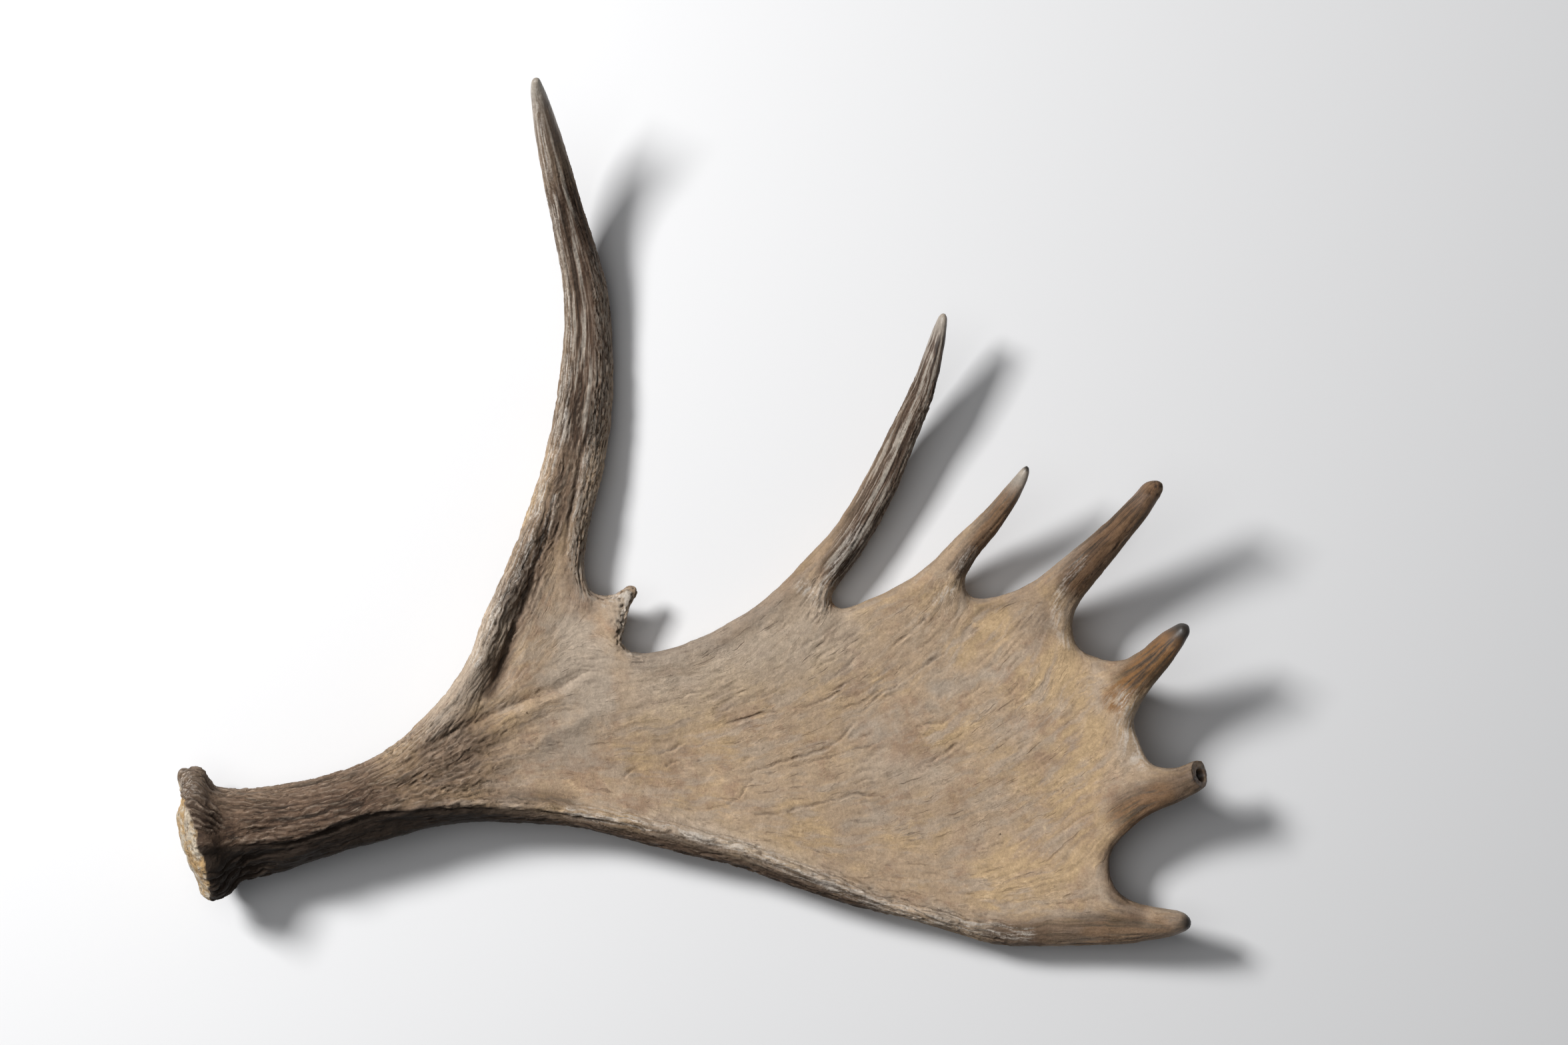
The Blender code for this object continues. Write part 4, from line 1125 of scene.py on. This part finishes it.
def add(tree, kind, inputs=None, **settings):
    """A new node with its settings and inputs."""
    node = tree.nodes.new(kind)
    for name, value in settings.items():
        setattr(node, name, value)
    for name, value in (inputs or {}).items():
        connect(tree, value, node.inputs[name])
    return node


def mask(tree, name):
    return add(tree, "ShaderNodeAttribute", attribute_name=name).outputs["Fac"]


def maths(tree, operation, a, b=0.0):
    return add(tree, "ShaderNodeMath", {0: a, 1: b}, operation=operation).outputs[0]


def times(tree, a, b):
    return maths(tree, "MULTIPLY", a, b)


def plus(tree, a, b):
    return maths(tree, "ADD", a, b)


def minus(tree, a, b):
    return maths(tree, "SUBTRACT", a, b)


def ramp(tree, value, low, high):
    """low where the value is 0, high where it is 1, and evenly between."""
    node = add(tree, "ShaderNodeMapRange", {"Value": value, "To Min": low, "To Max": high})
    return node.outputs["Result"]


def between(tree, value, low, high):
    """0 below low, 1 above high, smooth between."""
    node = add(tree, "ShaderNodeMapRange", {"Value": value, "From Min": low, "From Max": high},
               interpolation_type="SMOOTHSTEP")
    return node.outputs["Result"]


def lay_over(tree, under, colour, amount):
    """The colour over what is under it, as thick as amount says."""
    node = add(tree, "ShaderNodeMix", {0: amount, 6: under, 7: colour}, data_type="RGBA")
    return node.outputs[2]


def shade(tree, colour, amount, dark, light):
    """Colour made darker or lighter: dark times it at 0, light times it at 1."""
    node = add(tree, "ShaderNodeVectorMath", {0: colour, "Scale": ramp(tree, amount, dark, light)},
               operation="SCALE")
    return node.outputs["Vector"]


def blobs(tree, place, size, detail=4.0, rough=0.6):
    """Noise from 0 to 1, with blobs of about this size in metres."""
    node = add(tree, "ShaderNodeTexNoise", {"Vector": place, "Scale": 1 / size, "Detail": detail,
                                            "Roughness": rough})
    return node.outputs["Fac"]


def streaks(tree, width, length, detail=2.0):
    """Noise from 0 to 1, drawn along the growth lines, as the carving's grain is."""
    finest = maths(tree, "LOGARITHM", times(tree, mask(tree, "crowding"), width), 2.0)
    level = times(tree, finest, -1.0)
    whole = maths(tree, "FLOOR", level)
    lengthwise = times(tree, mask(tree, "grown"), 1 / length)
    upright = times(tree, mask(tree, "rise"), 1 / width)
    layers = []
    for step in (0.0, 1.0):
        doubling = maths(tree, "POWER", 2.0, plus(tree, whole, step))
        crosswise = times(tree, mask(tree, "stream"), doubling)
        shifted = plus(tree, crosswise, times(tree, plus(tree, whole, step), 17.3))
        place = add(tree, "ShaderNodeCombineXYZ", {0: lengthwise, 1: shifted, 2: upright})
        layers.append(blobs(tree, place.outputs[0], 1.0, detail))
    blend = minus(tree, level, whole)
    return add(tree, "ShaderNodeMix", {0: blend, 2: layers[0], 3: layers[1]}).outputs[0]


def peeled(tree, value, levels):
    """A slow climb and a sudden drop, over and over, as in the carving's ledges."""
    part = maths(tree, "FRACT", times(tree, value, levels))
    return times(tree, part, between(tree, part, 1.0, 0.86))


# %% Antler bone
GREY = (0.43, 0.345, 0.265)
TAN = (0.44, 0.32, 0.215)
OCHRE = (0.49, 0.345, 0.20)
STRAW = (0.58, 0.44, 0.28)
RED_BROWN = (0.27, 0.155, 0.10)
LIGHT_BROWN = (0.14, 0.09, 0.06)
BROWN = (0.095, 0.058, 0.038)
UMBER = (0.053, 0.033, 0.022)
DARK_UMBER = (0.024, 0.016, 0.011)
RUST = (0.24, 0.12, 0.045)
RECESS_DARK = (0.03, 0.019, 0.013)
BONE = (0.40, 0.315, 0.24)
CHALK = (0.58, 0.53, 0.47)
OLD_OCHRE = (0.40, 0.26, 0.12)
PALE_BONE = (0.55, 0.455, 0.36)
CREAM = (0.52, 0.45, 0.35)
GREY_HORN = (0.37, 0.33, 0.28)
BLACK_HORN = (0.04, 0.032, 0.026)
ROUGHNESS = (0.68, 0.44)         # of plain bone, and of polished bone
GLOSS = (0.16, 0.5)
BUMP_HEIGHT = 0.6 * MM


def antler_bone():
    material = bpy.data.materials.new("antler bone")
    material.use_nodes = True
    tree = material.node_tree
    shader = tree.nodes["Principled BSDF"]
    place = add(tree, "ShaderNodeTexCoord").outputs["Object"]
    clouds = blobs(tree, place, 40 * MM, 7.0, 0.62)
    mottle = blobs(tree, place, 9 * MM, 9.0, 0.8)
    specks = blobs(tree, place, 1.8 * MM, 4.0, 0.8)
    wide = streaks(tree, 8 * MM, 30 * MM, 6.0)
    bands = streaks(tree, 4.5 * MM, 50 * MM, 4.0)
    thin = streaks(tree, 1.5 * MM, 18 * MM, 3.0)
    skin = streaks(tree, 5 * MM, 20 * MM, 5.0)
    flaky = between(tree, blobs(tree, place, 26 * MM, 3.0), 0.46, 0.62)
    flaky = maths(tree, "MAXIMUM", times(tree, flaky, 0.6), mask(tree, "rough"))
    fibres = streaks(tree, 2.2 * MM, 70 * MM, 2.0)
    holes = streaks(tree, 1.8 * MM, 5 * MM, 2.0)
    flake = peeled(tree, skin, 5.0)
    # lip lightens the top edge of each flake as a painted highlight, and foot darkens below each drop
    # as painted shade.
    lip = times(tree, between(tree, flake, 0.52, 0.80), flaky)
    foot = times(tree, between(tree, flake, 0.16, 0.02), flaky)
    dashes = between(tree, streaks(tree, 2.4 * MM, 24 * MM, 3.0), 0.60, 0.70)

    patches = minus(tree, mask(tree, "ochre"), mask(tree, "greyed"))
    ochre = between(tree, plus(tree, clouds, times(tree, patches, 0.22)), 0.46, 0.68)
    greyed = between(tree, plus(tree, clouds, times(tree, patches, 0.25)), 0.46, 0.24)
    redness = plus(tree, blobs(tree, place, 24 * MM, 7.0, 0.75),
                   times(tree, mask(tree, "reddened"), 0.1))
    redness = between(tree, redness, 0.50, 0.64)
    colour = lay_over(tree, TAN, RED_BROWN, times(tree, redness, 0.45))
    colour = lay_over(tree, colour, GREY, times(tree, between(tree, wide, 0.52, 0.40), 0.55))
    colour = lay_over(tree, colour, GREY, greyed)
    colour = lay_over(tree, colour, OCHRE, times(tree, ochre, between(tree, wide, 0.40, 0.56)))
    paled = times(tree, mask(tree, "paled"), between(tree, wide, 0.38, 0.52))
    colour = lay_over(tree, colour, PALE_BONE, times(tree, paled, 0.8))
    straw = times(tree, between(tree, mottle, 0.54, 0.70), ochre)
    colour = lay_over(tree, colour, STRAW, times(tree, straw, 0.7))

    strips = add(tree, "ShaderNodeMix", {0: 0.5, 2: bands, 3: fibres}).outputs[0]
    stain_and_shade_colour = lay_over(tree, DARK_UMBER, UMBER, between(tree, strips, 0.39, 0.45))
    stain_and_shade_colour = lay_over(tree, stain_and_shade_colour, BROWN, between(tree, strips, 0.44, 0.50))
    stain_and_shade_colour = lay_over(tree, stain_and_shade_colour, LIGHT_BROWN, between(tree, strips, 0.49, 0.56))
    silvery = times(tree, between(tree, strips, 0.48, 0.57), mask(tree, "silvery"))
    stain_and_shade_colour = lay_over(tree, stain_and_shade_colour, GREY_HORN, times(tree, silvery, 0.85))
    # Stain and painted shade: real stain on most entries, painted shade on the rim's underside, in the
    # gutter and in the bay between points 6 and 7.
    soaked_stain_and_shade = plus(tree, mask(tree, "stain and painted shade"), times(tree, minus(tree, 0.5, bands), 0.8))
    soaked_stain_and_shade = times(tree, mask(tree, "stain and painted shade"), between(tree, soaked_stain_and_shade, -0.1, 0.75))
    colour = lay_over(tree, colour, stain_and_shade_colour, soaked_stain_and_shade)
    orange = times(tree, mask(tree, "orange"), between(tree, strips, 0.42, 0.54))
    colour = lay_over(tree, colour, RUST, times(tree, orange, 0.85))
    colour = lay_over(tree, colour, UMBER, times(tree, mask(tree, "burr"), 0.7))
    # The beam's underside, painted near-black: a little stain and mostly painted shade.
    colour = lay_over(tree, colour, DARK_UMBER, times(tree, mask(tree, "underside stain and painted shade"), 0.97))

    worn = times(tree, mask(tree, "crest"), between(tree, thin, 0.34, 0.60))
    worn = times(tree, worn, minus(tree, 1.0, times(tree, mask(tree, "underside stain and painted shade"), 0.85)))
    colour = lay_over(tree, colour, BONE, times(tree, worn, times(tree, mask(tree, "rough"), 0.45)))
    bare = times(tree, mask(tree, "pitted"), between(tree, holes, 0.44, 0.58))
    colour = lay_over(tree, colour, GREY_HORN, times(tree, bare, 0.45))
    pitted = times(tree, mask(tree, "pitted"), between(tree, holes, 0.46, 0.38))
    colour = lay_over(tree, colour, DARK_UMBER, times(tree, pitted, 0.7))
    chalky = times(tree, mask(tree, "chalky"), between(
        tree, plus(tree, times(tree, thin, 0.75), times(tree, specks, 0.25)), 0.46, 0.60))
    colour = lay_over(tree, colour, CHALK, times(tree, chalky, 0.7))
    colour = lay_over(tree, colour, GREY_HORN, times(tree, mask(tree, "pale tip"), 0.7))
    creamy = between(tree, blobs(tree, place, 14 * MM, 5.0, 0.7), 0.42, 0.56)
    scar = lay_over(tree, OLD_OCHRE, CREAM, creamy)
    sealed = times(tree, mask(tree, "seal"), between(tree, mottle, 0.3, 0.52))
    colour = lay_over(tree, colour, scar, sealed)

    # The last two steps lay a painted highlight on each flake's lip and painted shade at its foot.
    for amount, dark, light in ((mottle, 0.45, 1.55), (thin, 0.86, 1.14), (specks, 0.55, 1.45),
                                (lip, 1.0, 1.22), (foot, 1.0, 0.76)):
        colour = shade(tree, colour, amount, dark, light)
    colour = lay_over(tree, colour, BROWN, times(tree, dashes, 0.38))
    # The grooves are painted darker, most on rough bone.
    groove_darkening = plus(tree, times(tree, mask(tree, "rough"), 0.2), 0.45)
    colour = lay_over(tree, colour, RECESS_DARK, times(tree, mask(tree, "groove"), groove_darkening))
    colour = lay_over(tree, colour, BLACK_HORN, mask(tree, "black tip"))
    colour = lay_over(tree, colour, RECESS_DARK, mask(tree, "hollow"))
    connect(tree, colour, shader.inputs["Base Color"])

    sheen = maths(tree, "MAXIMUM", mask(tree, "polish"), mask(tree, "black tip"))
    mottled = times(tree, ramp(tree, sheen, *ROUGHNESS), ramp(tree, mottle, 0.8, 1.2))
    connect(tree, mottled, shader.inputs["Roughness"])
    connect(tree, ramp(tree, sheen, *GLOSS), shader.inputs["Specular IOR Level"])

    surface = plus(tree, times(tree, times(tree, flake, flaky), 0.6), times(tree, mottle, 1.8))
    surface = plus(tree, surface, times(tree, thin, 0.35))
    surface = minus(tree, surface, times(tree, pitted, 0.8))
    surface = minus(tree, surface, times(tree, dashes, 0.5))
    calm = minus(tree, 1.0, times(tree, sheen, 0.85))
    bump = add(tree, "ShaderNodeBump", {"Height": times(tree, surface, calm), "Strength": 1.0,
                                        "Distance": BUMP_HEIGHT})
    connect(tree, bump.outputs["Normal"], shader.inputs["Normal"])
    return material


bone_paint = antler_bone()
for piece in pieces.values():
    piece.data.materials.clear()
    piece.data.materials.append(bone_paint)
print("painted")

# %% The pieces ride on the frame
for name, piece in pieces.items():
    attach(piece, "root")
    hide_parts(name)
print("pieces stand for", sorted(pieces))

# %% [markdown]
# ## Floor, light and camera
#
# The floor is plain and pale. One large soft light comes from the left and a little from above,
# low enough to throw long soft shadows to the right and to rake over the grooves.

# %% Floor
FLOOR_SIZE = 8.0
FLOOR_COLOUR = (0.80, 0.80, 0.805, 1)
FLOOR_ROUGHNESS = 0.8

bpy.ops.mesh.primitive_plane_add(size=FLOOR_SIZE, location=(0, 0, 0))
floor = bpy.context.object
floor.name = "floor"
paint = bpy.data.materials.new("pale floor")
paint.use_nodes = True
floor_shader = paint.node_tree.nodes["Principled BSDF"]
floor_shader.inputs["Base Color"].default_value = FLOOR_COLOUR
floor_shader.inputs["Roughness"].default_value = FLOOR_ROUGHNESS
floor.data.materials.append(paint)
print("floor laid")

# %% Light
LIGHTS = {                       # place, size, power in watts
    "key": ((-1.45, 0.85, 1.9), 0.6, 74),
    "front": ((-0.6, 0.2, 2.6), 1.6, 15),
}
SKY_COLOUR = (0.9, 0.94, 1.0, 1)
SKY_STRENGTH = 0.07


def aim_down(obj, target=(0, 0, 0)):
    direction = np.array(target) - np.array(obj.location)
    flat = np.hypot(direction[0], direction[1])
    heading = np.arctan2(direction[1], direction[0]) - np.pi / 2
    obj.rotation_euler = (np.arctan2(flat, -direction[2]), 0, heading)


for name, (place, size, power) in LIGHTS.items():
    bpy.ops.object.light_add(type="AREA", location=place)
    light = bpy.context.object
    light.name = name
    light.data.size = size
    light.data.energy = power
    aim_down(light)

world = bpy.data.worlds.new("studio")
world.use_nodes = True
sky = world.node_tree.nodes["Background"]
sky.inputs["Color"].default_value = SKY_COLOUR
sky.inputs["Strength"].default_value = SKY_STRENGTH
bpy.context.scene.world = world
bpy.context.scene.view_settings.view_transform = "Standard"
print("lights:", sorted(LIGHTS))

# %% Camera
SENSOR = 36.0                    # mm

bpy.ops.object.camera_add(location=(*CAMERA_PLAN, CAMERA_HEIGHT), rotation=(0, 0, 0))
camera = bpy.context.object
camera.name = "camera"
camera.data.sensor_width = SENSOR
camera.data.lens = SENSOR * (CAMERA_HEIGHT - PIXEL_HEIGHT) / (FRAME_WIDTH * PIXEL)
camera.data.clip_end = 20
bpy.context.scene.camera = camera
print("lens: %.1f mm" % camera.data.lens)
